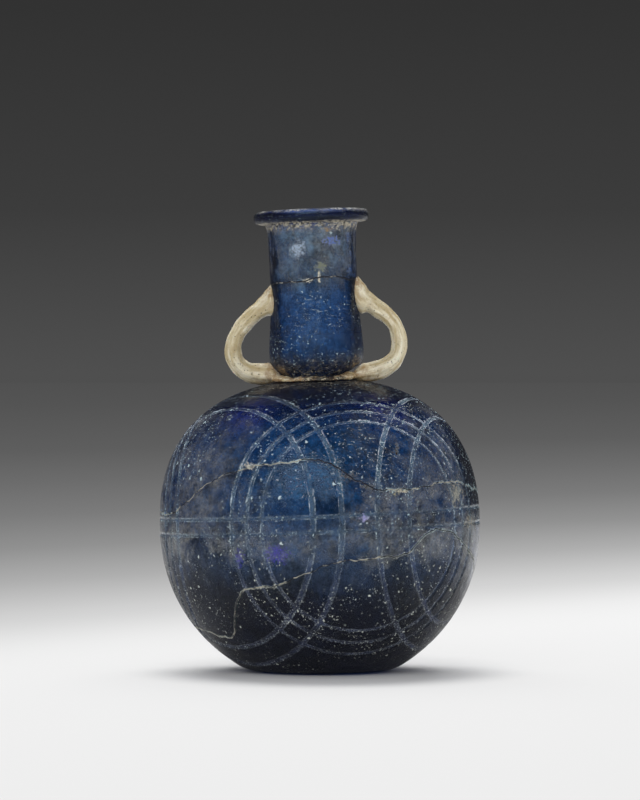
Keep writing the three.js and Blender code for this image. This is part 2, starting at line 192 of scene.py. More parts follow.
NECK_FOOT_RADIUS = WAIST_RADIUS + WAIST_FILLET
NECK_FOOT = shoulder_z(NECK_FOOT_RADIUS)
NECK_FOOT_LATITUDE = math.degrees(math.atan2(NECK_FOOT, NECK_FOOT_RADIUS))
MOUTH_RADIUS = NECK_RADIUS + 0.35 - NECK_WALL
RIM_MIDDLE = NECK_FOOT + NECK_LENGTH + RIM_HEIGHT / 2


def swell(share):
    return mix(WAIST_RADIUS, SWELL_RADIUS, share)


def settle(share):
    return mix(SWELL_RADIUS, NECK_RADIUS, share)


NECK_OUTLINE = np.array([
    (NECK_FOOT_RADIUS, 0), (WAIST_RADIUS + 0.25, 0.5), (WAIST_RADIUS, 1.2), (swell(0.12), 2.1),
    (swell(0.42), 3.2), (swell(0.74), 4.4), (swell(0.94), 6.2), (SWELL_RADIUS, 9), (settle(0.35), 16),
    (settle(0.85), 24), (NECK_RADIUS, 32), (NECK_RADIUS + 0.1, NECK_LENGTH - 7),
    (NECK_RADIUS + 0.45, NECK_LENGTH - 2), (NECK_RADIUS + 1, NECK_LENGTH + 0.25),
])


def lengths_along(points, power=1):
    """How far each point lies along a line, its steps raised to a power."""
    steps = np.linalg.norm(np.diff(points, axis=0), axis=1) ** power
    return np.concatenate([[0], np.cumsum(steps)])


def through(points, samples=60):
    """A dense smooth line through points."""
    pad = np.vstack([2 * points[0] - points[1], points, 2 * points[-1] - points[-2]])
    knots = lengths_along(pad, 0.5)
    out = []
    for i in range(1, len(pad) - 2):
        t = np.linspace(knots[i], knots[i + 1], samples, endpoint=False)[:, None]
        k = knots[i - 1:i + 3]
        line = list(pad[i - 1:i + 3])
        for reach, firsts in ((1, (0, 1, 2)), (2, (0, 1)), (1, (1,))):
            line = [mix(a, b, (t - k[j]) / (k[j + reach] - k[j])) for j, a, b in zip(firsts, line, line[1:])]
        out.append(line[0])
    return np.vstack([*out, points[-1:]])


neck_line = through(NECK_OUTLINE)
neck_line[:, 1] += NECK_FOOT
neck_lengths = lengths_along(neck_line)
neck_shares = neck_lengths / neck_lengths[-1]


def neck_point(share):
    share = np.clip(share, 0, 1)
    return np.stack([np.interp(share, neck_shares, neck_line[:, k]) for k in (0, 1)], -1)


def neck_share(height):
    return np.interp(height, neck_line[:, 1], neck_shares)


def unit(vectors):
    return vectors / np.linalg.norm(vectors, axis=-1, keepdims=True)


def inset(outline, place, depth, step):
    """A point moved inwards from an outline, square to it."""
    along = unit(outline(place + step) - outline(place - step))
    inwards = np.stack([-along[..., 1], along[..., 0]], -1)
    return outline(place) + inwards * np.asarray(depth)[..., None]


def globe_inside(latitude):
    wall = mix(BELLY_WALL, SHOULDER_WALL, rise(latitude, 0, 60))
    return inset(globe_point, latitude, wall, 0.01)


def neck_inside(share):
    wall = mix(SHOULDER_WALL, NECK_WALL, rise(share, 0, 0.14))
    return inset(neck_point, share, wall, 0.004)


def neck_break(azimuth):
    a = np.radians(azimuth)
    fine = 0.12 * np.sin(11 * a + 1) + 0.08 * np.sin(23 * a + 2) + 0.05 * np.sin(41 * a)
    wave = NECK_BREAK_WAVE * (np.sin(2 * a + math.radians(40)) + 0.5 * np.sin(5 * a))
    return NECK_FOOT + NECK_BREAK_HEIGHT + wave + fine


def beside(line, azimuth, distance):
    """The latitude that lies a distance above a break line, measured square to it."""
    latitude = line(azimuth)
    slope = (line(azimuth + 0.4) - line(azimuth - 0.4)) / 0.8 / np.cos(np.radians(latitude))
    size = np.linalg.norm(globe_point(latitude), axis=-1)
    return latitude + np.degrees(distance * np.hypot(1, slope) / size)


def around(points, azimuth):
    """Profile points, rows by columns by two, turned to the azimuth of each column."""
    shift = NECK_SHIFT * rise(points[..., 1], NECK_FOOT, NECK_FOOT + NECK_SHIFT_HEIGHT)
    a = np.radians(azimuth)
    x = shift + points[..., 0] * np.sin(a)
    y = -points[..., 0] * np.cos(a)
    return np.stack([x, y, points[..., 1]], -1)


def rows_between(low, high, count):
    """Rows from one edge to the other, each edge given for every column."""
    share = np.linspace(0, 1, count)[:, None]
    return mix(np.asarray(low, float) * np.ones(1), np.asarray(high, float) * np.ones(1), share)


lean_angle = math.radians(LEAN)
LEANING = np.array([
    [math.cos(lean_angle), 0, -math.sin(lean_angle)],
    [0, 1, 0],
    [math.sin(lean_angle), 0, math.cos(lean_angle)],
])


def direction(azimuth, latitude):
    a, b = math.radians(azimuth), math.radians(latitude)
    return np.array([math.sin(a) * math.cos(b), -math.cos(a) * math.cos(b), math.sin(b)])


def to_cut(points):
    """How far points are from the middle of the nearest cut, as a share of half its width."""
    share = np.full(points.shape[:-1], FAR)
    for azimuth, latitude, radii, half_width in RING_SETS:
        along = points @ direction(azimuth, latitude)
        for radius in radii:
            turn = math.radians(radius)
            off = np.abs(along - GLOBE_RADIUS * math.cos(turn)) / math.sin(turn)
            share = np.minimum(share, off / half_width)
    for height in BELT_HEIGHTS:
        share = np.minimum(share, np.abs(points[..., 2] - height) / BELT_HALF_WIDTH)
    return np.where(points[..., 2] < CUTS_END, share, FAR)


def cut_depth(points):
    return 1 - rise(to_cut(points), 0.3, 1)


def unevenness(points):
    """The slow waver of a free-blown surface, from 0 to 1."""
    x, y, z = (points[..., k] / 10 for k in range(3))
    wave = np.sin(1.1 * x + 0.7 * z) + np.sin(0.9 * y - 1.3 * z + 1) + np.sin(0.96 * x + 1.2 * y + 2)
    wave = wave + 0.6 * np.sin(2.7 * z + 1.9 * x) + 0.6 * np.sin(2.3 * y - 2.1 * x + 0.5 * z)
    return 0.5 + wave / 8.4


def inwards(points):
    """Unit steps from points of the globe or neck towards the hollow."""
    level = np.minimum(points[..., 2:3], 40)
    aim = np.concatenate([0 * level, 0 * level, np.maximum(level - 10, 0) * 0.6], -1)
    return unit(aim - points)


def worked(points, cut=True):
    """The outside with the wheel's cuts and the waver, never proud of the construction."""
    depth = SKIN + WAVER * unevenness(points)
    if cut:
        depth = depth + CUT_DEPTH * cut_depth(points)
    return points + inwards(points) * depth[..., None]


# Stains and flakes on the front: where, in millimetres from the globe's centre, their reach along each
# axis, colour, strength, and 1 for those that lie on the inner wall
STAINS = [
    ((-7.2, -13.0, 90.2), (2.6, 6, 3.4), (0.36, 0.46, 0.60), 0.85, 0),
    ((3.6, -13.0, 93.0), (4.2, 6, 2.3), (0.10, 0.17, 0.46), 0.75, 0),
    ((2.4, -14.0, 96.4), (1.9, 6, 1.2), (0.30, 0.20, 0.10), 0.75, 0),
    ((-12.6, -9.0, 50.0), (2.6, 8, 3.4), (0.30, 0.21, 0.12), 0.85, 0),
    ((12.6, -9.0, 51.5), (2.8, 8, 5.0), (0.36, 0.27, 0.15), 0.85, 0),
    ((-3.6, -14.0, 80.1), (2.5, 6, 0.75), (0.72, 0.68, 0.54), 1.0, 0),
    ((-0.3, -14.0, 81.8), (0.55, 6, 2.3), (0.66, 0.62, 0.48), 1.0, 0),
    ((0.4, -14.0, 84.6), (3.4, 6, 2.6), (0.20, 0.22, 0.13), 0.6, 0),
    ((-13.7, -48.5, -7.0), (4.2, 12, 2.8), (0.44, 0.20, 0.95), 1.0, 1),
    ((-25.1, -44.0, -8.6), (1.9, 12, 3.4), (0.34, 0.19, 0.78), 0.8, 1),
    ((14.0, -50.0, 4.4), (2.4, 9, 2.0), (0.34, 0.34, 0.66), 0.6, 0),
    ((9.0, -46.0, 17.6), (3.2, 9, 1.5), (0.012, 0.014, 0.020), 0.8, 0),
    ((15.5, -46.0, 14.2), (3.4, 9, 1.1), (0.012, 0.014, 0.020), 0.8, 0),
    ((24.5, -42.0, 25.5), (0.9, 12, 3.2), (0.022, 0.021, 0.020), 0.7, 0),
    ((-22.5, -42.0, 20.6), (3.2, 12, 1.2), (0.60, 0.58, 0.50), 0.8, 0),
    ((26.0, -44.0, 12.6), (5.0, 12, 0.8), (0.52, 0.48, 0.36), 0.8, 0),
    ((24.0, -42.0, 11.8), (2.0, 12, 1.6), (0.30, 0.29, 0.18), 0.6, 0),
    ((44.0, -27.0, 11.5), (5.0, 12, 5.5), (0.36, 0.36, 0.30), 0.58, 0),
    ((48.0, -18.0, 2.0), (4.0, 12, 4.0), (0.34, 0.32, 0.26), 0.6, 0),
]

# Where a violet-blue glow is painted on the inner wall, for light from above that passes through the
# shoulder: azimuth, latitude and reach
GLOWS = [(-38, 48, 14), (42, 48, 14), (150, 48, 16), (-140, 44, 15), (95, 30, 12)]


def clouds(points, size, seed, octaves=4):
    """Seeded smooth noise from 0 to 1 with features of about size millimetres."""
    draw = np.random.default_rng(seed)
    grid = draw.random((24, 24, 24))
    total, weight = 0.0, 0.0
    for octave in range(octaves):
        share = 0.6**octave
        place = points * (2.0**octave / size) + draw.uniform(0, 24, 3)
        low = np.floor(place).astype(int)
        t = rise(place - low, 0, 1)
        value = 0.0
        for corner in np.ndindex(2, 2, 2):
            part = np.prod(np.where(corner, t, 1 - t), axis=-1)
            i, j, k = np.moveaxis((low + corner) % 24, -1, 0)
            value = value + part * grid[i, j, k]
        total, weight = total + share * value, weight + share
    return np.clip(0.5 + 1.7 * (total / weight - 0.5), 0, 1)


def tint(colours, share):
    """A colour between two, for each share."""
    low, high = colours
    return mix(np.array(low), np.array(high), share[..., None])


def over(colour, layer, share):
    """A colour with a layer laid over it, for each share."""
    return mix(colour, np.asarray(layer), share[..., None])


def crest(value, middle, reach):
    """1 at a middle value, falling off on both sides of it."""
    return np.exp(-(((value - middle) / reach) ** 2))


class Paint:
    """Where points lie, and the seeded noise that their paint is made of."""

    def __init__(self, points, sizes, seed):
        self.world = points @ LEANING.T
        self.x = self.world[..., 0]
        self.up = points[..., 2]
        self.aside = points[..., 0] - NECK_SHIFT
        self.wide = clouds(self.world, sizes[0], seed)
        self.patches = clouds(self.world, sizes[1], seed + 1)
        self.fine = clouds(self.world, sizes[2], seed + 2, 3)

    def ragged(self, value, in_patches=0.0, in_fine=0.0, in_wide=0.0):
        """A value made uneven by the three noises."""
        uneven = in_patches * (self.patches - 0.5) + in_fine * (self.fine - 0.5)
        return value + uneven + in_wide * (self.wide - 0.5)

    def mingled(self, share=0.6):
        return share * self.patches + (1 - share) * self.fine

    def spot(self, x, x_reach, up, up_reach):
        """A soft round spot on the front and the back, 1 at its middle."""
        return crest(self.x, x, x_reach) * crest(self.up, up, up_reach)


# Levels above the globe's centre at which the paint changes: the neck's start and the rim's underside
NECK_START = 49.0
RIM_START = 98.8

# Where specks drift together on the front: across, reach, height, reach and strength
SPECK_DRIFTS = [(14, 28, 32, 15, 0.06), (1, 9, -27, 6, 0.15), (-15, 9, -38, 5, 0.12), (33, 12, 34, 9, 0.20)]


def outer_haze_and_highlight(at, flank, lip):
    """Grey haze on the flanks, round the belt, on the neck and on the lip, and a painted highlight along the
    rim's crest.
    """
    x, up = at.x, at.up
    belt = rise(at.ragged(up, 10), -26, -12) * rise(at.ragged(up, 0, 8), 8, -4)
    right = rise(x, 3, 20) * rise(up, -8, 0) * mix(1, 0.4, rise(up, 9, 19))
    blotches = np.maximum(1.6 * at.patches + 1.4 * at.fine - 0.6, 0.05)
    haze = (0.008 + 0.14 * flank + 0.075 * belt + 0.16 * right * (1 - flank)) * blotches
    haze = haze * mix(1, 0.62, rise(up, -4, -14))
    haze = haze * mix(1, 0.6, rise(up, -2, -12) * rise(x, 0, -14))
    haze = haze * mix(0.05, 1, rise(up, 44, 34)) * mix(0.45, 1, rise(up, -34, -16))
    on_neck = (0.02 + 0.085 * rise(up, 74, 84)) * (0.1 + 1.2 * clouds(at.world, 5, 24) + 0.7 * at.fine)
    haze = np.where(up > NECK_START, on_neck * rise(up, NECK_START, 60), haze)
    haze = haze + 0.10 * lip * blotches * rise(up, 99.6, 100.6)
    # A painted highlight: a pale line along the rim's crest, where the light from above catches its edge.
    return haze + 0.55 * crest(up, 103.0, 0.4) * rise(at.mingled(), 0.3, 0.6)


def outer_crust_and_shade(at, foot, lip, beside_handles, aside):
    """Dark cover: darker below, on the shoulder's top and on the lip, crust at the neck's foot, and painted
    shade at the right edge, on the neck's sides and in a thin line near the neck's edge.
    """
    x, up = at.x, at.up
    uneven = at.ragged(up, 8, 8)
    below = rise(uneven - 0.23 * np.maximum(-x, 0), -10, -29)
    outline = np.maximum(1 - (np.clip(up, 0, 48) / SHOULDER_HEIGHT) ** SHOULDER_FULLNESS, 0.01)
    outline = GLOBE_RADIUS * outline ** (1 / SHOULDER_FULLNESS)
    # Painted shade along the globe's right outline, where the wall is seen edge-on.
    right_edge = rise(x / outline + 0.05 * (at.fine + at.patches - 1), 0.88, 0.95)
    right_edge = right_edge * rise(uneven, -1, 7) * rise(uneven, 38, 26)
    top = rise(at.ragged(up, 4, 4), 38, 44) * rise(up, NECK_START, 47.8)
    top = top * rise(at.wide + at.fine - 0.5, 0.2, 0.7)
    # Painted shade: a thin dark line near each side of the upper neck, where its wall is seen edge-on.
    thin_line = crest(aside, 12.9, 0.8) * rise(up, 79, 83) * rise(up, 99, 96)
    parts = [0.72 * below, 0.8 * right_edge, 0.4 * top, 0.56 * foot, 0.6 * lip]
    return np.maximum.reduce([*parts, 0.46 * beside_handles, 0.75 * thin_line])


def speck_drift(at, flank, foot, beside_handles):
    """How thickly the specks lie."""
    up = at.up
    drift = 0.26 + 0.5 * clouds(at.world, 13, 25) - 0.10 * rise(up, 50, 60) * rise(up, 98, 92)
    for *spot, strength in SPECK_DRIFTS:
        drift = drift + strength * at.spot(*spot)
    drift = drift + 0.10 * beside_handles + 0.20 * foot + 0.05 * flank
    # More specks on the rim, partly painted glints where the light catches its facets.
    drift = drift + 0.14 * rise(up, RIM_START - 0.3, RIM_START + 0.7)
    return drift + 0.06 * rise(up, 30, 38) * rise(up, NECK_START, 47)


def cuts_shown(at):
    """How plainly the cuts show, most at the upper right and at the sides, and more at the upper left; the
    boost at the upper right and left is painted highlight from the light above.
    """
    shown = 0.2 + clouds(at.world, 7, 26)
    # Painted highlight: the cuts show most where the light from above catches them, at the upper right and
    # upper left.
    shown = shown * (0.8 + 1.4 * at.spot(32, 13, 34, 12)) * (1 + 0.5 * at.spot(-34, 13, 31, 12))
    return np.maximum(shown, 0.4) * mix(1, 1.4, rise(np.abs(at.x), 36, 44))


def outer_paint(points):
    """The haze and a painted highlight on the rim's crest, the crust and painted shade, the drift of specks
    on the outside, and how plainly the cuts show.
    """
    at = Paint(points, (26, 8, 2.2), 21)
    up = at.up
    flank = rise(at.ragged(np.abs(at.x), in_wide=30) - 0.25 * np.maximum(up, 0), 12, 42)
    foot = rise(at.ragged(up, 5, 7), 61, 54) * rise(up, 47.8, NECK_START)
    lip = rise(up, RIM_START, RIM_START + 0.6) * rise(at.ragged(up, 1.6), 102.2, 101.2)
    streaky = clouds(at.world * [1, 1, 0.22], 2.6, 27)
    aside = at.ragged(np.abs(at.aside), 0, 1.5) + 3.5 * (streaky - 0.5)
    # Painted shade on the neck's sides beside the handles, where the wall is seen edge-on; the same mask also
    # thickens the specks there.
    beside_handles = rise(aside, 9.8, 13.2) * rise(up, 86, 78) * rise(up, 48, 51)
    haze = outer_haze_and_highlight(at, flank, lip)
    crust = outer_crust_and_shade(at, foot, lip, beside_handles, aside)
    return np.stack([haze, crust, speck_drift(at, flank, foot, beside_handles)], -1), cuts_shown(at)


# Colours of the film on the inner wall, each from its darkest to its palest
TEAL = ((0.008, 0.06, 0.13), (0.10, 0.46, 0.52))
SLATE = ((0.045, 0.09, 0.13), (0.34, 0.45, 0.44))
GREY_BLUE = ((0.055, 0.060, 0.072), (0.33, 0.305, 0.29))
LOW_DARK_FILM = ((0.006, 0.008, 0.026), (0.045, 0.048, 0.090))
SHOULDER_BLUE = ((0.002, 0.007, 0.024), (0.010, 0.020, 0.10))
LOWER_NECK = ((0.06, 0.17, 0.24), (0.29, 0.50, 0.57))
UPPER_NECK = ((0.05, 0.065, 0.06), (0.58, 0.62, 0.50))
VIOLET = (0.05, 0.09, 0.50)
NECK_EDGE = (0.012, 0.020, 0.034)
NECK_FOOT_DARK = (0.02, 0.025, 0.035)


def globe_film(at, points):
    """Teal in the middle of the front, partly painted light from behind, slate beside it, grey and darker
    below, deep blue and a painted violet glow above.
    """
    up = at.up
    # The teal in the middle of the front is partly the film's colour and partly painted light coming through
    # from above and behind.
    window = at.spot(4, 28, 26, 14)
    colour = over(tint(SLATE, at.mingled()), tint(TEAL, at.mingled()),
                  rise(0.8 * at.wide + 0.8 * window, 0.42, 0.85))
    level = at.ragged(up, 8, 6, 12) - 0.08 * np.abs(at.x)
    colour = over(colour, tint(GREY_BLUE, at.mingled(0.5)), rise(level, 2, -8))
    # The film grows darker towards the bottom.
    colour = over(colour, tint(LOW_DARK_FILM, at.patches), rise(level, -8, -24))
    top = 0.95 * rise(at.ragged(up, 4, 3), 30, 40)
    colour = over(colour, tint(SHOULDER_BLUE, at.patches), top)
    glow = np.zeros(up.shape)
    for azimuth, latitude, reach in GLOWS:
        out, height = globe_point(np.array(float(latitude)))
        a = math.radians(azimuth)
        off = np.linalg.norm(points - [out * math.sin(a), -out * math.cos(a), height], axis=-1)
        glow = np.maximum(glow, 1 - rise(off, 0.3 * reach, reach))
    # Painted glow: violet light from above passing through the shoulder.
    colour = over(colour, VIOLET, 0.7 * (glow * (0.2 + 0.8 * at.patches)))
    return colour, mix(0.55, 1.0, rise(clouds(at.world, 9, 34), 0.25, 0.65))


def neck_film(at):
    """Teal below, mottled grey-green above, with painted shade at the sides, and darker at the foot."""
    spots = rise(0.65 * clouds(at.world, 4.5, 35) + 0.35 * at.fine, 0.3, 0.7)
    high = rise(at.ragged(at.up, 6), 75, 82)
    colour = over(tint(LOWER_NECK, at.mingled()), tint(UPPER_NECK, spots), high)
    # Painted shade: a dark band down each side, where the neck's wall is seen edge-on.
    edge = crest(np.abs(at.ragged(at.aside, 1.6)), 10.9, 1.4)
    colour = over(colour, NECK_EDGE, 0.5 * edge)
    # Darker at the neck's foot.
    colour = over(colour, NECK_FOOT_DARK, 0.3 * rise(at.ragged(at.up, 0, 5), 56, 50))
    low_cover = mix(0.55, 0.95, at.patches)
    return colour, mix(low_cover, 0.85 * rise(at.mingled(), 0.25, 0.75), high)


def inner_paint(points):
    """The colour of the film on the inner wall and how much it covers."""
    at = Paint(points, (18, 6, 2.2), 31)
    on_neck = rise(at.up, 46, 52)
    colour, cover = globe_film(at, points)
    neck_colour, neck_cover = neck_film(at)
    return over(colour, neck_colour, on_neck), mix(cover, neck_cover, on_neck)


def marks(points, inner):
    """What the glass reads from the mesh: the wall's side, the nearest cut and stain, and the paint."""
    world = points @ LEANING.T
    stain = np.full(points.shape[:-1], FAR)
    colour = np.zeros(points.shape)
    for place, reach, shade, strength, side in STAINS:
        if side == inner:
            off = np.linalg.norm((world - place) / reach, axis=-1)
            colour[off < stain] = shade
            stain = np.minimum(stain, off + 1 - strength)
    paint, cover = inner_paint(points) if inner else outer_paint(points)
    cut = np.full(stain.shape, FAR) if inner else to_cut(points)
    hollow = np.full(stain.shape, float(inner))
    return {
        "hollow": hollow, "to_cut": cut, "stain": stain, "stain_colour": colour, "paint": paint,
        "cover": cover}


def both_walls(outside, inside):
    """The marks of a closed loop of rings: the outer ones, low to high, and the inner ones, high to low."""
    outer, inner = marks(outside, 0), marks(inside, 1)
    return {key: np.concatenate([outer[key], inner[key]]) for key in outer}


def add(name, data):
    """A new object in the scene."""
    made = bpy.data.objects.new(name, data)
    bpy.context.scene.collection.objects.link(made)
    return made


def mesh_piece(name, rings, sharp=(), ends_closed=False, leaning=True, attributes=None):
    """A closed mesh from a closed loop of rings, or from a row of rings with a point in each end ring."""
    count, columns = rings.shape[:2]
    points = rings.reshape(-1, 3)
    i = np.arange(count - 1 if ends_closed else count)[:, None]
    j = np.arange(columns)[None, :]
    aside = (j + 1) % columns
    above = (i + 1) % count
    corners = [i * columns + j, i * columns + aside, above * columns + aside, above * columns + j]
    quads = np.stack(corners, -1).reshape(-1, 4)
    faces = [tuple(q) for q in quads.tolist()]
    used = points
    if ends_closed:
        last = (count - 1) * columns
        low, high = len(points), len(points) + 1
        used = np.vstack([points, rings[0].mean(0), rings[-1].mean(0)])
        for k in range(columns):
            m = (k + 1) % columns
            faces.append((low, m, k))
            faces.append((high, last + k, last + m))
    a, b, c, d = (points[quads[:, k]] for k in range(4))
    volume = (a * (np.cross(b, c) + np.cross(c, d))).sum()
    if volume < 0:
        faces = [f[::-1] for f in faces]
    world = used @ LEANING.T if leaning else used
    world = (world + [0, 0, CENTRE_HEIGHT]) / 1000
    mesh = bpy.data.meshes.new(name)
    mesh.from_pydata(world.tolist(), [], faces)
    mesh.shade_smooth()
    edges = np.zeros(len(mesh.edges) * 2, int)
    mesh.edges.foreach_get("vertices", edges)
    ring = edges.reshape(-1, 2) // columns
    flags = (ring[:, 0] == ring[:, 1]) & np.isin(ring[:, 0], [k % count for k in sharp])
    mesh.attributes.new("sharp_edge", "BOOLEAN", "EDGE").data.foreach_set("value", flags)
    for key, values in (attributes or {}).items():
        flat = np.asarray(values, np.float32).reshape(len(points), -1)
        flat = np.vstack([flat, np.repeat(flat[-1:], len(used) - len(points), 0)])
        kind, field = ("FLOAT", "value") if flat.shape[1] == 1 else ("FLOAT_VECTOR", "vector")
        mesh.attributes.new(key, kind, "POINT").data.foreach_set(field, flat.ravel())
    return add(name, mesh)


def wall_piece(name, outside, inside, to_break, **more):
    """A ring of wall from its outside rows, low to high, and its inside rows, low to high."""
    rings = np.concatenate([outside, inside[::-1]])
    distance = np.concatenate([to_break[0], to_break[1][::-1]])
    top = len(outside) - 1
    attributes = {"to_break": distance, **both_walls(outside, inside[::-1]), **more}
    return mesh_piece(name, rings, sharp=(0, top, top + 1, len(rings) - 1), attributes=attributes)


# The meshes' columns and rows, the rows first those of the outside and then those of the inside
GLOBE_COLUMNS = 700
NECK_COLUMNS = 360
BELLY_ROWS = (118, 18)
SHOULDER_ROWS = (84, 14)
FOOT_ROWS = (14, 6)
LOWER_NECK_ROWS = (18, 8)
UPPER_NECK_ROWS = (34, 22)
RIM_ROWS = 40
BOWL_ROWS = (72, 14)
HANDLE_ROWS = 220
HANDLE_TURNS = 64
THREAD_TURNS = 24
# The shares of the neck's line up to which its foot has rows of its own, and at which the inner wall ends
FOOT_SHARE = 0.14
MOUTH_SHARE = 0.93
# The distance to a break, in millimetres, of what is nowhere near one
UNBROKEN = 20.0


def columns(count):
    return np.arange(count) * 360 / count


def full_turn(count):
    return np.linspace(0, 2 * math.pi, count, endpoint=False)


def rows_to_break(rows, low, high):
    """How far each row is from the nearer edge, in millimetres along the globe."""
    size = math.radians(1) * GLOBE_RADIUS
    return np.minimum(rows - low, high - rows) * size


def from_hairline(points):
    """The distance of points from the hairline."""
    corners = [[*globe_point(np.array(float(latitude))), azimuth] for azimuth, latitude in HAIRLINE]
    line = through(np.array(corners), 12)
    line = around(line[:, :2], line[:, 2])
    near = np.full(points.shape[:-1], FAR)
    for k, (a, b) in enumerate(zip(line[:-1], line[1:])):
        along = b - a
        t = np.clip((points - a) @ along / (along @ along), 0, 1)
        waver = 0.18 * math.sin(1.7 * k) * np.array([0, 0, 1])
        near = np.minimum(near, np.linalg.norm(points - a - waver - t[..., None] * along, axis=-1))
    return near


def make_belly():
    azimuth = columns(GLOBE_COLUMNS)
    low = beside(lower_line, azimuth, HALF_BREAK)
    high = beside(upper_line, azimuth, -HALF_BREAK)
    out, inner = (rows_between(low, high, count) for count in BELLY_ROWS)
    outside = worked(around(globe_point(out), azimuth))
    inside = around(globe_inside(inner), azimuth)
    edges = [rows_to_break(rows, low, high) for rows in (out, inner)]
    return wall_piece("belly", outside, inside, edges)


def make_shoulder():
    azimuth = columns(GLOBE_COLUMNS)
    low = beside(upper_line, azimuth, HALF_BREAK)
    high = neck_share(neck_break(azimuth) - HALF_BREAK)
    out, inner = (rows_between(low, NECK_FOOT_LATITUDE, count)[:-1] for count in SHOULDER_ROWS)
    split = 0 * azimuth + FOOT_SHARE
    neck_out, neck_in = (
        np.concatenate([rows_between(0 * azimuth, split, foot)[:-1], rows_between(split, high, count)])
        for foot, count in zip(FOOT_ROWS, LOWER_NECK_ROWS))
    outside = np.concatenate([
        worked(around(globe_point(out), azimuth)), worked(around(neck_point(neck_out), azimuth), cut=False)])
    inside = np.concatenate([around(globe_inside(inner), azimuth), around(neck_inside(neck_in), azimuth)])
    length = neck_lengths[-1]
    edges = [
        np.concatenate([np.minimum(rows_to_break(rows, low, 200), UNBROKEN), (high - neck) * length])
        for rows, neck in ((out, neck_out), (inner, neck_in))]
    hair = np.concatenate([np.maximum(2 - from_hairline(outside), 0), np.zeros(inside.shape[:2])])
    return wall_piece("shoulder", outside, inside, edges, hairline=hair)


def rim_point(angle):
    half = (RIM_RADIUS - MOUTH_RADIUS) / 2
    across, up = np.cos(np.radians(angle)), np.sin(np.radians(angle))
    reach = (np.abs(across) ** RIM_SQUARENESS + np.abs(up) ** RIM_SQUARENESS) ** (-1 / RIM_SQUARENESS)
    out = MOUTH_RADIUS + half + half * across * reach
    return np.stack([out, RIM_MIDDLE + RIM_HEIGHT / 2 * up * reach], -1)


def make_upper_neck():
    azimuth = columns(NECK_COLUMNS)
    low = neck_share(neck_break(azimuth) + HALF_BREAK)
    out = rows_between(low, 1, UPPER_NECK_ROWS[0])
    inner = rows_between(low, MOUTH_SHARE, UPPER_NECK_ROWS[1])
    fold = rows_between(0 * azimuth - 80, 165, RIM_ROWS)
    profiles = np.concatenate([neck_point(out), rim_point(fold)])
    outside = worked(around(profiles, azimuth), cut=False)
    inside = around(neck_inside(inner), azimuth)
    on_rim = np.full(fold.shape, UNBROKEN)
    edges = (np.concatenate([(out - low) * neck_lengths[-1], on_rim]), (inner - low) * neck_lengths[-1])
    return wall_piece("upper_neck", outside, inside, edges)


REST_MIDDLE = math.sqrt(GLOBE_RADIUS**2 - CENTRE_HEIGHT**2)
REST_OUTER = REST_MIDDLE - REST_ROUNDING_INSIDE
REST_INNER = REST_OUTER - REST_RING_WIDTH
REST_END = REST_MIDDLE + REST_ROUNDING_OUTSIDE


def base_z(radius):
    kick = BASE_KICK * (1 - np.minimum(radius / REST_INNER, 1) ** 2) ** 2
    height = math.sqrt(GLOBE_RADIUS**2 - REST_END**2)
    width = REST_END - REST_OUTER
    t = np.clip((radius - REST_OUTER) / width, 0, 1)
    climb = (CENTRE_HEIGHT - height) * t * t * (3 - 2 * t)
    return kick + climb + REST_END / height * width * (t**3 - t**2)


def make_bowl():
    azimuth = columns(GLOBE_COLUMNS)
    a = np.radians(azimuth)
    radii = np.concatenate([
        np.linspace(0.3, REST_INNER, 12), np.linspace(REST_INNER, REST_OUTER, 5)[1:],
        np.linspace(REST_OUTER, REST_END, 12)[1:]])
    side = np.stack([np.sin(a), -np.cos(a), 0 * a], -1)
    floor = side[None] * radii[:, None, None]
    floor[..., 2] = (base_z(radii) - CENTRE_HEIGHT)[:, None]
    start = unit(floor[-1])
    edge = around(globe_point(beside(lower_line, azimuth, -HALF_BREAK)), azimuth)
    end = unit(edge @ LEANING.T)
    angle = np.arccos(np.clip((start * end).sum(-1), -1, 1))

    def sphere(count):
        t = np.linspace(0, 1, count)[1:, None]
        ways = np.sin((1 - t) * angle)[..., None] * start + np.sin(t * angle)[..., None] * end
        return ways / np.sin(angle)[:, None], t

    ways, outer_share = sphere(BOWL_ROWS[0])
    outside = ways * GLOBE_RADIUS
    settled = worked(outside @ LEANING) @ LEANING.T
    outside = mix(outside, settled, np.minimum(outer_share * 6, 1)[..., None])
    ways_in, inner_share = sphere(BOWL_ROWS[1])
    wall = mix(BASE_WALL, BELLY_WALL, inner_share)[..., None]
    turn = rise(radii, REST_OUTER, REST_END)[:, None, None]
    inner_floor = floor - unit(mix(np.array([0, 0, -1.0]), unit(floor), turn)) * BASE_WALL
    rings = np.concatenate([floor, outside, (ways_in * (GLOBE_RADIUS - wall))[::-1], inner_floor[::-1]])
    split = len(floor) + len(outside)
    size = angle * GLOBE_RADIUS
    far = np.full(floor.shape[:2], UNBROKEN)
    distance = np.concatenate([far, (1 - outer_share) * size, ((1 - inner_share) * size)[::-1], far])
    attributes = {"to_break": distance, **both_walls(rings[:split] @ LEANING, rings[split:] @ LEANING)}
    sharp = (split - 1, split)
    return mesh_piece("bowl", rings, sharp, ends_closed=True, leaning=False, attributes=attributes)


def seam_piece(name, outside, inside):
    return mesh_piece(name, np.concatenate([outside, inside[::-1]]), sharp=(0, 3, 4, 7))


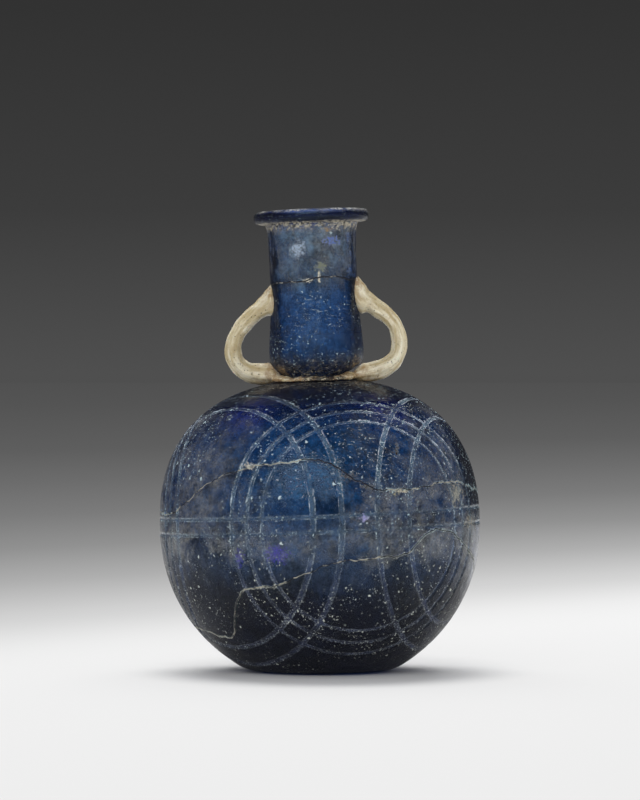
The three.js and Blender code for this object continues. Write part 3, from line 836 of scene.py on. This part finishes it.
def make_globe_seam(name, line, seed):
    """A thin seam sunk a little below the skin, uneven in width and in depth."""
    azimuth = columns(GLOBE_COLUMNS)
    draw = np.random.default_rng(seed)
    waver = np.convolve(draw.normal(0, 1, len(azimuth)), np.ones(5) / 5, "same")
    uneven = np.convolve(draw.normal(0, 1, len(azimuth)), np.ones(4) / 2, "same")
    half = HALF_SEAM * (0.75 + 0.25 * np.clip(uneven, -1, 1))
    rows = rows_between(beside(line, azimuth, -half), beside(line, azimuth, half), 4)
    depth = np.array(SEAM_DEPTHS)[:, None] + SEAM_LEAST + SEAM_WAVER * np.clip(waver, -1, 1)
    outside = around(globe_point(rows), azimuth)
    outside = outside + inwards(outside) * depth[..., None]
    return seam_piece(name, outside, around(globe_inside(rows), azimuth))


def make_neck_seam():
    azimuth = columns(NECK_COLUMNS)
    height = neck_break(azimuth)
    rows = rows_between(neck_share(height - HALF_SEAM), neck_share(height + HALF_SEAM), 4)
    outside = around(neck_point(rows), azimuth)
    outside = outside + inwards(outside) * NECK_SEAM_DEPTH
    return seam_piece("neck_seam", outside, around(neck_inside(rows), azimuth))


def kept_outside(points, gap=0.05):
    """Points pushed out of the vessel, so that a handle's ends spread on its skin."""
    height = np.maximum(points[..., 2], NECK_FOOT + 0.5)
    shift = NECK_SHIFT * rise(height, NECK_FOOT, NECK_FOOT + NECK_SHIFT_HEIGHT)
    skin = np.interp(height, neck_line[:, 1], neck_line[:, 0]) + gap
    x, y = points[..., 0] - shift, points[..., 1]
    radius = np.hypot(x, y)
    push = np.maximum(skin / radius, 1)
    x, y = x * push + shift, y * push
    floor = shoulder_z(np.minimum(np.hypot(x, y), GLOBE_RADIUS)) + gap
    return np.stack([x, y, np.maximum(points[..., 2], floor)], -1)


def grain(along, turns):
    """A place along a rod and round it, for streaks that follow the rod."""
    return np.stack(np.broadcast_arrays(along, np.cos(turns), np.sin(turns)), -1)


def make_handle(name, rungs, azimuth, seed):
    """A drawn rod of glass with an oval section on each rung, ridged lengthwise and a little lumpy."""
    draw = np.random.default_rng(seed)
    rungs = np.array(rungs, float)
    outer, inner = rungs[:, 0:2], rungs[:, 2:4]
    depths = rungs[:, 4] * HANDLE_RADIUS
    path = through(np.column_stack([(outer + inner) / 2, (outer - inner) / 2, depths]), 24)
    lengths = lengths_along(path[:, :2])
    step = np.linspace(0, lengths[-1], HANDLE_ROWS)
    sections = [np.interp(step, lengths, column)[:, None] for column in path.T]
    middle_out, middle_up, half_out, half_up, depth = sections
    turns = full_turn(HANDLE_TURNS)
    phase = draw.uniform(0, 6, 5)
    step = step[:, None]
    ridge = 0.045 * np.cos(3 * turns + 0.04 * step + phase[0])
    ridge = ridge + 0.030 * np.cos(5 * turns - 0.05 * step + phase[1])
    ridge = ridge + 0.016 * np.cos(9 * turns + 0.03 * step + phase[4])
    lumps = 0.03 * np.sin(step * 0.55 + phase[2]) + 0.02 * np.sin(step * 1.3 + 2 * turns + phase[3])
    size = 1.02 + ridge + lumps
    out = NECK_RADIUS + middle_out + np.cos(turns) * half_out * size
    up = NECK_FOOT + middle_up + np.cos(turns) * half_up * size
    a = math.radians(azimuth)
    across = np.sin(turns) * depth * size
    x = NECK_SHIFT + out * math.sin(a) + across * math.cos(a)
    y = -out * math.cos(a) + across * math.sin(a)
    rings = kept_outside(np.stack([x, y, up], -1))
    ends = np.minimum(step, lengths[-1] - step) + 0 * turns
    attributes = {"grain": grain(step, turns), "from_end": ends, "clean": 1 + 0 * ends}
    return mesh_piece(name, rings, ends_closed=True, attributes=attributes)


def make_thread():
    """The cream thread round the neck's foot, laid by hand and uneven."""
    azimuth = columns(NECK_COLUMNS)
    a = np.radians(azimuth)
    turns = full_turn(THREAD_TURNS)[:, None]
    from_front = (azimuth + 180) % 360 - 180
    by_feet = crest(np.abs(from_front), 62, 24)
    width = 2.35 + 0.3 * np.sin(3 * a + 1) + 0.18 * np.sin(8 * a) + 0.1 * np.sin(23 * a)
    thick = 0.62 + 0.5 * by_feet + 0.12 * np.sin(5 * a + 2)
    thick = thick + 0.05 * np.sin(13 * a) + 0.02 * np.sin(31 * a + 1)
    middle = WAIST_RADIUS + 2.9 + 0.2 * np.sin(2 * a)
    radius = middle + width * np.cos(turns)
    seat = shoulder_z(radius) + 0.06
    crumbs = 1 + 0.10 * np.sin(17 * a + turns) + 0.08 * np.sin(41 * a + 2 * turns)
    height = seat + thick + thick * np.sin(turns) * crumbs
    rings = np.stack([radius * np.sin(a), -radius * np.cos(a), height], -1)
    clean = by_feet + 0.5 * crest(from_front, -28, 22) + 0 * radius
    attributes = {"grain": grain(13 * a, turns), "from_end": 0 * radius, "clean": clean}
    return mesh_piece("foot_thread", rings, attributes=attributes)


def grey(value):
    """The linear colour of an 8-bit grey."""
    c = value / 255
    linear = c / 12.92 if c <= 0.04045 else ((c + 0.055) / 1.055) ** 2.4
    return (linear, linear, linear)


class Field:
    """What a node gives out, open to plain arithmetic."""

    def __init__(self, graph, socket):
        self.graph = graph
        self.socket = socket

    def __add__(self, other):
        return self.graph.math("ADD", self, other)

    def __sub__(self, other):
        return self.graph.math("SUBTRACT", self, other)

    def __rsub__(self, other):
        return self.graph.math("SUBTRACT", other, self)

    def __mul__(self, other):
        return self.graph.math("MULTIPLY", self, other)

    def __truediv__(self, other):
        return self.graph.math("DIVIDE", self, other)

    def __abs__(self):
        return self.graph.math("ABSOLUTE", self)


class Graph:
    """The nodes of a material or the world, with short calls for the ones used here."""

    def __init__(self, tree):
        self.tree = tree
        self.place = None
        tree.nodes.clear()

    def node(self, kind, inputs=None, **settings):
        made = self.tree.nodes.new("ShaderNode" + kind)
        for key, value in settings.items():
            setattr(made, key, value)
        for key, value in (inputs or {}).items():
            self.put(made.inputs[key], value)
        return made

    def put(self, socket, value):
        if isinstance(value, Field):
            self.tree.links.new(value.socket, socket)
        elif isinstance(value, tuple) and len(value) == 3 and socket.type == "RGBA":
            socket.default_value = (*value, 1)
        else:
            socket.default_value = value

    def made(self, kind, inputs=None, output=0, **settings):
        """One output of a new node."""
        return Field(self, self.node(kind, inputs, **settings).outputs[output])

    def vector(self, operation, a, b=None, scale=None):
        inputs = {0: a}
        if b is not None:
            inputs[1] = b
        if scale is not None:
            inputs["Scale"] = scale
        output = "Value" if operation in ("DOT_PRODUCT", "LENGTH") else "Vector"
        return self.made("VectorMath", inputs, output, operation=operation)

    def math(self, operation, a, b=None):
        inputs = {0: a} if b is None else {0: a, 1: b}
        return self.made("Math", inputs, operation=operation)

    def most(self, *values):
        top = values[0]
        for value in values[1:]:
            top = self.math("MAXIMUM", top, value)
        return top

    def band(self, value, low, high, start=0.0, end=1.0):
        """A smooth step of value from low to high, which may fall."""
        inputs = {"Value": value, "From Min": low, "From Max": high, "To Min": start, "To Max": end}
        if low > high:
            inputs.update({"From Min": high, "From Max": low, "To Min": end, "To Max": start})
        return self.made("MapRange", inputs, "Result", interpolation_type="SMOOTHSTEP")

    def moved(self, place, stretch, at):
        return self.vector("ADD", self.vector("MULTIPLY", place or self.place, stretch), at)

    def noise(self, scale, detail=3.0, roughness=0.55, stretch=(1, 1, 1), at=(0, 0, 0), place=None):
        """Noise with features of about 1/scale millimetres, from 0 to 1."""
        inputs = {"Vector": self.moved(place, stretch, at), "Scale": scale, "Detail": detail}
        return self.made("TexNoise", {**inputs, "Roughness": roughness}, "Fac")

    def cells(self, scale, at, place=None):
        """Distance to the nearest of scattered points, in cells, and a random colour for each cell."""
        made = self.node("TexVoronoi", {"Vector": self.moved(place, (1, 1, 1), at), "Scale": scale})
        return Field(self, made.outputs["Distance"]), Field(self, made.outputs["Color"])

    def blend(self, factor, a, b):
        """A mix of two colours."""
        made = self.node("Mix", data_type="RGBA")
        self.put(made.inputs["Factor"], factor)
        for socket, colour in zip([s for s in made.inputs if s.type == "RGBA"], (a, b)):
            self.put(socket, colour)
        return Field(self, next(s for s in made.outputs if s.type == "RGBA"))

    def join(self, factor, a, b):
        """A mix of two shaders."""
        return self.made("MixShader", {0: factor, 1: a, 2: b})

    def attribute(self, name, output="Fac"):
        return self.made("Attribute", None, output, attribute_name=name)

    def part(self, vector, axis):
        return self.made("SeparateXYZ", {0: vector}, axis)

    def bump(self, height, strength, distance):
        inputs = {"Strength": strength, "Distance": distance, "Height": height}
        return self.made("Bump", inputs)

    def ramp(self, factor, stops):
        """Greys along a ramp, each given by its place and 8-bit value."""
        made = self.node("ValToRGB", {0: factor})
        elements = made.color_ramp.elements
        for k, (place, value) in enumerate(stops):
            element = elements[k] if k < 2 else elements.new(place)
            element.position = place
            element.color = (*grey(value), 1)
        return Field(self, made.outputs[0])

    def end(self, surface, volume=None, kind="OutputMaterial"):
        inputs = {"Surface": surface} if volume is None else {"Surface": surface, "Volume": volume}
        self.node(kind, inputs)


def new_material(name):
    """A material and its graph, whose places are millimetres from the globe's centre."""
    material = bpy.data.materials.new(name)
    material.use_nodes = True
    g = Graph(material.node_tree)
    centred = g.vector("SUBTRACT", g.made("TexCoord", None, "Object"), (0, 0, CENTRE_HEIGHT / 1000))
    g.place = g.vector("SCALE", centred, scale=1000)
    return material, g


# Keeps a share of nothing from being divided by nothing
TINY = 0.001
# The dark of the crust, which also colours the painted shade at the outlines and on the neck's sides
SOOT_AND_SHADE = (0.010, 0.011, 0.018)
CRACK_BLACK = (0.012, 0.012, 0.015)
DIRT_BLACK = (0.012, 0.013, 0.019)
DIRT_GREY = (0.13, 0.12, 0.10)
DIRT_CREAM = (0.60, 0.54, 0.40)
# The haze's greys, which also colour the painted highlight on the rim's crest
HAZE_AND_HIGHLIGHT = ((0.38, 0.385, 0.40), (0.51, 0.51, 0.47))
LOW_FLECKS = ((0.30, 0.33, 0.30), (0.92, 0.95, 0.84))
HIGH_FLECKS = ((0.26, 0.38, 0.43), (0.77, 0.97, 1.0))
LOW_CUTS = ((0.20, 0.26, 0.50), (0.22, 0.32, 0.43))
HIGH_CUTS = ((0.68, 0.78, 0.80), (0.82, 0.84, 0.94))


def cut_masks(g):
    """The floors and the two edges of the cuts, from 0 to 1."""
    waver = (g.noise(0.3, 4, 0.65, at=(6, 0, 2)) - 0.5) * 0.8
    share = g.attribute("to_cut") + waver
    return g.band(share, 1.05, 0.6), g.band(abs(share - 0.88), 0.22, 0.05)


def stain_mask(g):
    ragged = (g.noise(0.9, 6, 0.75, at=(1, 6, 3)) - 0.5) * 3.6
    grit = g.band(g.noise(1.7, 4, 0.7, at=(2, 6, 9)), 0.34, 0.58, 0.35, 1.0)
    return g.band(g.attribute("stain") + ragged, 1.15, 0.55) * grit


def crust(g, paint, grit):
    """The haze with the painted highlight on the rim's crest, and the dark crust with the painted shade at
    the outlines and on the neck's sides: their colour and how much they cover.
    """
    haze = g.part(paint, 0) * g.band(grit, 0.36, 0.64, 0.25, 1.75)
    dark = g.part(paint, 1) * g.band(grit, 0.3, 0.7, 1.08, 0.92)
    cover = g.most(haze, dark)
    haze_and_highlight_colour = g.blend(g.noise(0.3, 3, at=(1, 1, 1)), *HAZE_AND_HIGHLIGHT)
    return g.blend(dark / (cover + TINY), haze_and_highlight_colour, SOOT_AND_SHADE), cover


def flakes(g, place, scale, sizes, empty, seed):
    """Flakes of random size in millimetres, one to a cell of 1/scale millimetres, with a share left empty."""
    away, draw = g.cells(scale, (seed, 2 * seed, 3 * seed), place)
    size = g.band(g.part(draw, 0), 0.0, 1.0, sizes[0] * scale, sizes[1] * scale)
    return g.band(away / size, 1.15, 0.75) * g.math("GREATER_THAN", g.part(draw, 1), empty)


def specks(g, up, drift):
    """Flakes of three sizes and thin streaks, gathered in drifts."""
    inputs = {"Vector": g.place, "Scale": 1.3, "Detail": 3.0, "Roughness": 0.65}
    warp = g.made("TexNoise", inputs, "Color")
    shift = g.vector("SCALE", g.vector("SUBTRACT", warp, (0.5, 0.5, 0.5)), scale=1.9)
    place = g.vector("ADD", g.place, shift)
    fine = flakes(g, place, 1.15, (0.08, 0.22), 0.45, 3) * g.band(drift, 0.36, 0.62)
    medium = flakes(g, place, 0.60, (0.12, 0.36), 0.55, 5) * g.band(drift, 0.36, 0.60)
    coarse = flakes(g, place, 0.24, (0.15, 0.55), 0.55, 8) * g.band(drift, 0.25, 0.45, 0.4, 1.0)
    streaks = g.noise(0.9, 4, 0.75, stretch=(0.5, 0.5, 2.4), at=(3, 3, 0))
    streaks = g.band(streaks, 0.60, 0.67) * g.band(up, 2, 26, 0.35, 1.0) * g.band(drift, 0.42, 0.64)
    return g.most(fine, medium, coarse, streaks * 0.75) * g.band(up, 99.4, 98.8, 0.5, 1.0)


def settled(g, up, cuts, grit, shown):
    """What has settled in the cuts: its colour and cover, and the beads along them."""
    floors, edges = cuts
    beads = g.band(g.noise(1.5, 4, 0.75, at=(5, 5, 5)), 0.53, 0.64)
    lengths = g.noise(0.17, 4, 0.65, at=(1, 7, 7))
    in_cut = floors * shown * g.band(lengths, 0.38, 0.64, 0.10, 0.34) * g.band(grit, 0.35, 0.65, 0.7, 1.3)
    on_edge = edges * shown * g.band(lengths, 0.36, 0.60, 0.5, 1.1) * g.band(up, -26, -8, 0.4, 1.0)
    on_edge = on_edge * g.band(g.noise(0.6, 5, 0.75, at=(0, 9, 3)), 0.45, 0.58, 0.2, 1.0)
    beads = g.most(floors, edges) * beads * g.band(shown, 0.4, 1.1, 0.3, 1.0)
    low = g.blend(g.band(up, -14, -4), *LOW_CUTS)
    # The cuts are paler higher up: partly their frost, partly painted highlight from the light above.
    high = g.blend(g.band(up, 18, 30), *HIGH_CUTS)
    bright = g.blend(g.noise(0.5, 4, 0.7, at=(2, 9, 1)), low, high)
    cover = g.most(in_cut, on_edge)
    return g.blend(on_edge / (cover + TINY), low, bright), cover, beads


def smears(g, up, drift):
    """Filler smeared beside the breaks, little on the neck and beside the upper break's dark stretch."""
    width = g.band(g.noise(0.6, 5, 0.8, at=(2, 2, 2)), 0.50, 0.72, 0.05, 1.1)
    smear = g.band(g.attribute("to_break") / width, 1.0, 0.5)
    smear = smear * g.band(drift, 0.35, 0.60, 0.1, 0.9) * g.band(up, 50, 46, 0.35, 1.0)
    from_dark = abs(g.part(g.place, 0) - 9.0)
    return smear * g.most(g.band(from_dark, 8, 14, 0.2, 1.0), g.band(up, 6, 2))


def neck_dirt(g, up):
    """Dirt round the neck's foot and under the rim, with pale crumbs in it: its colour and cover."""
    foot_edge = up + g.noise(0.45, 4, 0.7, at=(7, 7, 7)) * 9.0
    at_foot = g.band(foot_edge, 62.5, 55.0) * g.band(foot_edge, 48.5, 51.5)
    rim_edge = up - g.noise(0.4, 4, 0.7, at=(8, 1, 7)) * 5.0
    at_rim = g.band(rim_edge, 92.4, 95.4) * g.band(up, 99.8, 99.2)
    lumps = g.noise(0.7, 5, 0.75, stretch=(1, 1, 1.8), at=(3, 14, 5))
    on_foot = at_foot * g.band(lumps, 0.40, 0.52, 0.10, 0.92)
    cover = g.most(on_foot, at_rim * g.band(lumps, 0.42, 0.52, 0.0, 0.95))
    crumbs = g.noise(0.8, 5, 0.8, at=(3, 4, 5)) + at_rim * 0.10
    dark = g.blend(g.band(g.noise(0.5, 4, 0.7, at=(3, 8, 5)), 0.48, 0.62), DIRT_BLACK, DIRT_GREY)
    return g.blend(g.band(crumbs, 0.55, 0.62), dark, DIRT_CREAM), cover


def deposits_and_painted_light(g, up, cuts, grit, shown):
    """Everything that lies on the outside, together with the painted highlight, shade and glints carried in
    it: its colour and how much it covers.
    """
    paint = g.attribute("paint", "Vector")
    colour, under = crust(g, paint, grit)
    drift = g.part(paint, 2) + g.most(*cuts) * 0.12
    flecks = specks(g, up, drift)
    cut_colour, in_cuts, beads = settled(g, up, cuts, grit, shown)
    smear = smears(g, up, drift)
    crack = g.band(g.attribute("hairline"), 1.72, 1.88) * g.band(grit, 0.30, 0.50, 0.2, 0.9)
    dirt_colour, dirt = neck_dirt(g, up)
    tones = g.noise(0.7, 3, at=(5, 1, 1))
    fleck_colour = g.blend(g.band(up, -12, 4), g.blend(tones, *LOW_FLECKS), g.blend(tones, *HIGH_FLECKS))
    colour = g.blend(in_cuts / (in_cuts + under + TINY), colour, cut_colour)
    colour = g.blend(g.most(flecks, beads, smear), colour, fleck_colour)
    colour = g.blend(crack, colour, CRACK_BLACK)
    colour = g.blend(dirt, colour, dirt_colour)
    return colour, g.most(under, in_cuts, flecks * 0.95, beads * 0.85, smear, dirt, crack)


# How the glass swallows light, and how it tints what passes and what its skin throws back
GLASS_COLOUR = (0.10, 0.43, 0.80)
GLASS_DENSITY = 330.0
FACE_TINT = (0.80, 0.89, 1.0)
SKIN_TINT = (0.40, 0.50, 0.50)
SHADOW_COVER = 0.8


def blue_glass(name):
    material, g = new_material(name)
    hollow, cover = g.attribute("hollow"), g.attribute("cover")
    up = g.vector("DOT_PRODUCT", g.place, tuple(LEANING @ np.array([0, 0, 1.0])))
    grit = g.noise(1.5, 5, 0.8, at=(4, 0, 4))
    mottle = g.band(g.noise(0.35, 4, 0.7, at=(7, 2, 4)), 0.34, 0.66, 0.55, 1.4)
    cuts = cut_masks(g)
    outer_colour, outer_cover = deposits_and_painted_light(g, up, cuts, grit, cover)
    brightness = g.band(grit, 0.33, 0.67, 0.7, 1.3) * mottle
    inner_colour = g.vector("SCALE", g.attribute("paint", "Vector"), scale=brightness)
    stain, stain_colour = stain_mask(g), g.attribute("stain_colour", "Vector")
    outer_colour = g.blend(stain, outer_colour, stain_colour)
    inner_colour = g.blend(stain, inner_colour, stain_colour)

    dull = g.band(g.noise(0.18, 4, at=(8, 8, 0)), 0.3, 0.8, 0.03, 0.25)
    weathered = g.band(up, 34, 42, 0.0, 0.3) * g.band(up, 70, 61)
    roughness = g.most(cuts[0] * 0.24, g.most(dull, weathered))
    scratches = g.noise(1.2, 4, 0.7, stretch=(0.35, 0.35, 1.5), at=(0, 4, 9))
    height = g.noise(0.16, 3, 0.5, at=(0, 4, 4)) * 1.3 + scratches * 0.16
    bump = g.bump(height + outer_cover * 0.08 - cuts[0] * 0.3, 0.6, 0.0004)

    glass = g.made("BsdfPrincipled", {
        "Base Color": FACE_TINT, "Roughness": roughness, "IOR": 1.5,
        "Transmission Weight": 1.0, "Specular Tint": SKIN_TINT, "Normal": bump})
    coat = g.made("BsdfPrincipled", {
        "Base Color": outer_colour, "Roughness": 0.7, "IOR": 1.45,
        "Specular IOR Level": 0.15, "Normal": bump})
    film = g.join(0.4, g.made("BsdfDiffuse", {"Color": inner_colour}),
                  g.made("BsdfTranslucent", {"Color": inner_colour}))
    amount = g.most(outer_cover * (1.0 - hollow) + cover * hollow, stain)
    seen = g.join(amount, glass, g.join(hollow, coat, film))
    lamp_way = g.made("BsdfTransparent", {"Color": FACE_TINT})
    shadow = g.made("LightPath", None, "Is Shadow Ray")
    surface = g.join(shadow * (1.0 - amount * SHADOW_COVER), seen, lamp_way)
    g.end(surface, g.made("VolumeAbsorption", {"Color": GLASS_COLOUR, "Density": GLASS_DENSITY}))
    return material


CREAM = ((0.56, 0.46, 0.26), (0.98, 0.92, 0.72))
CREAM_CLOUD = (0.50, 0.38, 0.20)
CREAM_STAIN = (0.34, 0.20, 0.09)
CREAM_SOIL = (0.16, 0.115, 0.06)
CREAM_CRUST = (0.030, 0.029, 0.031)
CREAM_PIT = (0.07, 0.05, 0.03)


def cream_glass(name):
    """Opaque glass streaked along its length, stained at its ends, soiled and pitted."""
    material, g = new_material(name)
    streaks = g.noise(1.0, 4, 0.6, stretch=(0.10, 1.6, 1.6), place=g.attribute("grain", "Vector"))
    cloud = g.noise(0.35, 4, 0.6, at=(1, 2, 3))
    base = g.blend(g.band(streaks, 0.35, 0.68), *CREAM)
    base = g.blend(g.band(cloud, 0.46, 0.72, 0.0, 0.48), base, CREAM_CLOUD)
    stain = g.band(g.attribute("from_end"), 11, 1) * g.band(g.noise(0.5, 4, 0.65, at=(4, 2, 9)), 0.36, 0.62)
    base = g.blend(stain * 0.85, base, CREAM_STAIN)
    soil = g.band(g.noise(1.3, 5, 0.75, at=(6, 2, 1)), 0.56, 0.70)
    soil = soil * g.band(g.noise(0.22, 3, at=(1, 4, 1)), 0.42, 0.62, 0.15, 0.85)
    base = g.blend(soil, base, CREAM_SOIL)
    crusted = g.noise(0.8, 5, 0.75, at=(8, 8, 8)) - g.attribute("clean") * 0.30
    base = g.blend(g.band(crusted, 0.38, 0.47, 0.0, 0.9), base, CREAM_CRUST)
    away, size = g.cells(0.9, (2, 5, 1))
    pit = g.band(away, 0.22, 0.10) * g.band(g.part(size, 0), 0.55, 0.65)
    base = g.blend(pit * 0.85, base, CREAM_PIT)
    roughness = g.band(g.noise(0.6, 4, at=(3, 3, 3)), 0.3, 0.75, 0.2, 0.5)
    g.end(g.made("BsdfPrincipled", {
        "Base Color": base, "Roughness": roughness, "IOR": 1.52,
        "Normal": g.bump(streaks * 0.8 - pit - soil * 0.4, 0.6, 0.0004),
        "Subsurface Weight": 0.12, "Subsurface Radius": (1.0, 0.8, 0.5), "Subsurface Scale": 0.002}))
    return material


RESIN = ((0.20, 0.18, 0.13), (0.74, 0.70, 0.58))
RESIN_DARK = (0.012, 0.014, 0.022)


def aged_resin(name, darkness, middle=0.0, reach=0.0):
    """Filler of mixed pale and dark crumbs, darker within reach of a middle place across the front."""
    material, g = new_material(name)
    aside = abs(g.part(g.place, 0) - middle)
    level = g.noise(0.30, 4, 0.65, at=(5, 1, 3)) + g.band(aside, reach + 2, reach - 2, 0.0, 0.16)
    base = g.blend(g.noise(0.9, 4, 0.7), *RESIN)
    base = g.blend(g.band(level, darkness - 0.04, darkness + 0.04), base, RESIN_DARK)
    bump = g.bump(g.noise(2.0, 4, 0.7), 0.7, 0.0003)
    g.end(g.made("BsdfPrincipled", {"Base Color": base, "Roughness": 0.6, "Normal": bump}))
    return material


def lay_out():
    glass, cream = blue_glass("blue_glass"), cream_glass("cream_glass")
    lower_resin = aged_resin("lower_resin", 0.51, 36.0, 16.0)
    upper_resin = aged_resin("upper_resin", 0.52, 7.5, 13.0)
    neck_resin = aged_resin("neck_resin", 0.38)
    placed = [
        (make_bowl(), glass, "blue_glass", "bowl_shard"),
        (make_belly(), glass, "blue_glass", "belly_shard"),
        (make_shoulder(), glass, "blue_glass", "shoulder_shard"),
        (make_upper_neck(), glass, "blue_glass", "upper_neck_shard"),
        (make_handle("left_handle", LEFT_HANDLE, LEFT_AZIMUTH, 3), cream, "cream_glass", "handle_left"),
        (make_handle("right_handle", RIGHT_HANDLE, RIGHT_AZIMUTH, 4), cream, "cream_glass", "handle_right"),
        (make_thread(), cream, "cream_glass", "neck_foot_thread"),
        (make_globe_seam("lower_seam", lower_line, 5), lower_resin, "aged_resin", "lower_seam_resin"),
        (make_globe_seam("upper_seam", upper_line, 6), upper_resin, "aged_resin", "upper_seam_resin"),
        (make_neck_seam(), neck_resin, "aged_resin", "neck_seam_resin"),
    ]
    for piece, material, slot, node in placed:
        piece.data.materials.append(material)
        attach(piece, "root")
        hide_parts(node)


# The floor's grey by distance behind the object, in metres, which the world's horizon carries on; the greys,
# and the tilt that darkens the left, are a painted falloff of light on a floor that shines by itself.
FLOOR_GREYS = [
    (0.33, 246), (0.53, 231), (0.78, 208), (1.09, 175), (1.53, 145), (2.17, 123), (3.19, 108), (5.0, 94),
]
HORIZON_GREY = 79
SKY_GREYS = [(0.0, HORIZON_GREY), (0.0355, 60), (0.08, 50), (1.0, 44)]
FLOOR_SIZE = 40.0
FLOOR_DROP = 0.0001
FLOOR_MIDDLE = (0.0, -0.25, 0.0)
FLOOR_TILT = 1.4
FLOOR_FADE = (0.30, 0.75)
FLOOR_WHITE = (0.74, 0.74, 0.74)
PAPER_GREY = 240
# The stretch round the foot that takes the lamps' light and the shadow: its middle, squeeze and rings
SHADE_MIDDLE = (0.003, 0.010, 0.0)
SHADE_SQUEEZE = (0.85, 0.60, 1.0)
SHADE_RINGS = (0.040, 0.062)
# Beyond the rings, this share of the floor is an even painted grey that shines by itself, which fades the
# object's shadow out there.
PAPER_SHARE = 0.75
FILL_STRENGTH = 0.50


def make_floor():
    mesh = bpy.data.meshes.new("floor")
    corners = [(FLOOR_SIZE * x, FLOOR_SIZE * y, -FLOOR_DROP) for x, y in ((-1, -1), (1, -1), (1, 1), (-1, 1))]
    mesh.from_pydata(corners, [], [(0, 1, 2, 3)])
    material, g = new_material("floor_paper")
    place = g.made("TexCoord", None, "Object")
    away = g.vector("LENGTH", g.vector("SUBTRACT", place, FLOOR_MIDDLE)) - g.part(place, 0) * FLOOR_TILT
    stops = [(d / (d + 1), value) for d, value in FLOOR_GREYS] + [(0.93, 84), (1.0, HORIZON_GREY)]
    far = g.made("Emission", {"Color": g.ramp(away / (away + 1.0), stops)})
    near = g.made("BsdfDiffuse", {"Color": FLOOR_WHITE})
    paper = g.made("Emission", {"Color": grey(PAPER_GREY)})
    beyond = g.vector("MULTIPLY", g.vector("SUBTRACT", place, SHADE_MIDDLE), SHADE_SQUEEZE)
    near = g.join(g.band(g.vector("LENGTH", beyond), *SHADE_RINGS, 0.0, PAPER_SHARE), near, paper)
    g.end(g.join(g.band(away, *FLOOR_FADE), near, far))
    mesh.materials.append(material)
    add("floor", mesh)


def make_world():
    """A dark backdrop for what is seen, mirrored or refracted, and a plain white fill for the rest."""
    world = bpy.data.worlds.new("studio")
    bpy.context.scene.world = world
    world.use_nodes = True
    g = Graph(world.node_tree)
    height = g.part(g.made("TexCoord", None, "Generated"), 2)
    seen = g.made("Background", {"Color": g.ramp(height, SKY_GREYS)})
    fill = g.made("Background", {"Color": (1, 1, 1), "Strength": FILL_STRENGTH})
    camera, glossy, passing = (g.made("LightPath", None, "Is %s Ray" % kind)
                               for kind in ("Camera", "Glossy", "Transmission"))
    g.end(g.join(g.most(camera, g.most(glossy, passing)), fill, seen), kind="OutputWorld")


LAMP_AIM = (0, 0, 0.08)


def make_lamp(name, place, size, power, mirrored):
    lamp = bpy.data.lights.new(name, "AREA")
    lamp.shape = "RECTANGLE"
    lamp.size, lamp.size_y = size
    lamp.energy = power
    holder = add(name, lamp)
    holder.location = place
    way = Vector(LAMP_AIM) - Vector(place)
    holder.rotation_euler = way.to_track_quat("-Z", "Y").to_euler()
    holder.visible_camera = False
    holder.visible_glossy = mirrored
    holder.visible_transmission = mirrored


EYE = (0.0, -1.5, 0.0975)
EYE_PITCH = 0.35
LENS = 206.7
SENSOR_WIDTH = 36


def make_camera():
    camera = bpy.data.cameras.new("camera")
    camera.lens = LENS
    camera.sensor_width = SENSOR_WIDTH
    holder = add("camera", camera)
    holder.location = EYE
    holder.rotation_euler = (math.radians(90 - EYE_PITCH), 0, 0)
    bpy.context.scene.camera = holder


make_camera()
lay_out()
make_floor()
make_world()
make_lamp("back_box", (-0.06, 0.85, 1.25), (1.4, 0.9), 20.5, mirrored=False)
make_lamp("front_box", (-0.35, -1.9, 1.2), (1.8, 1.4), 15, mirrored=True)
bpy.context.scene.view_settings.view_transform = "Standard"
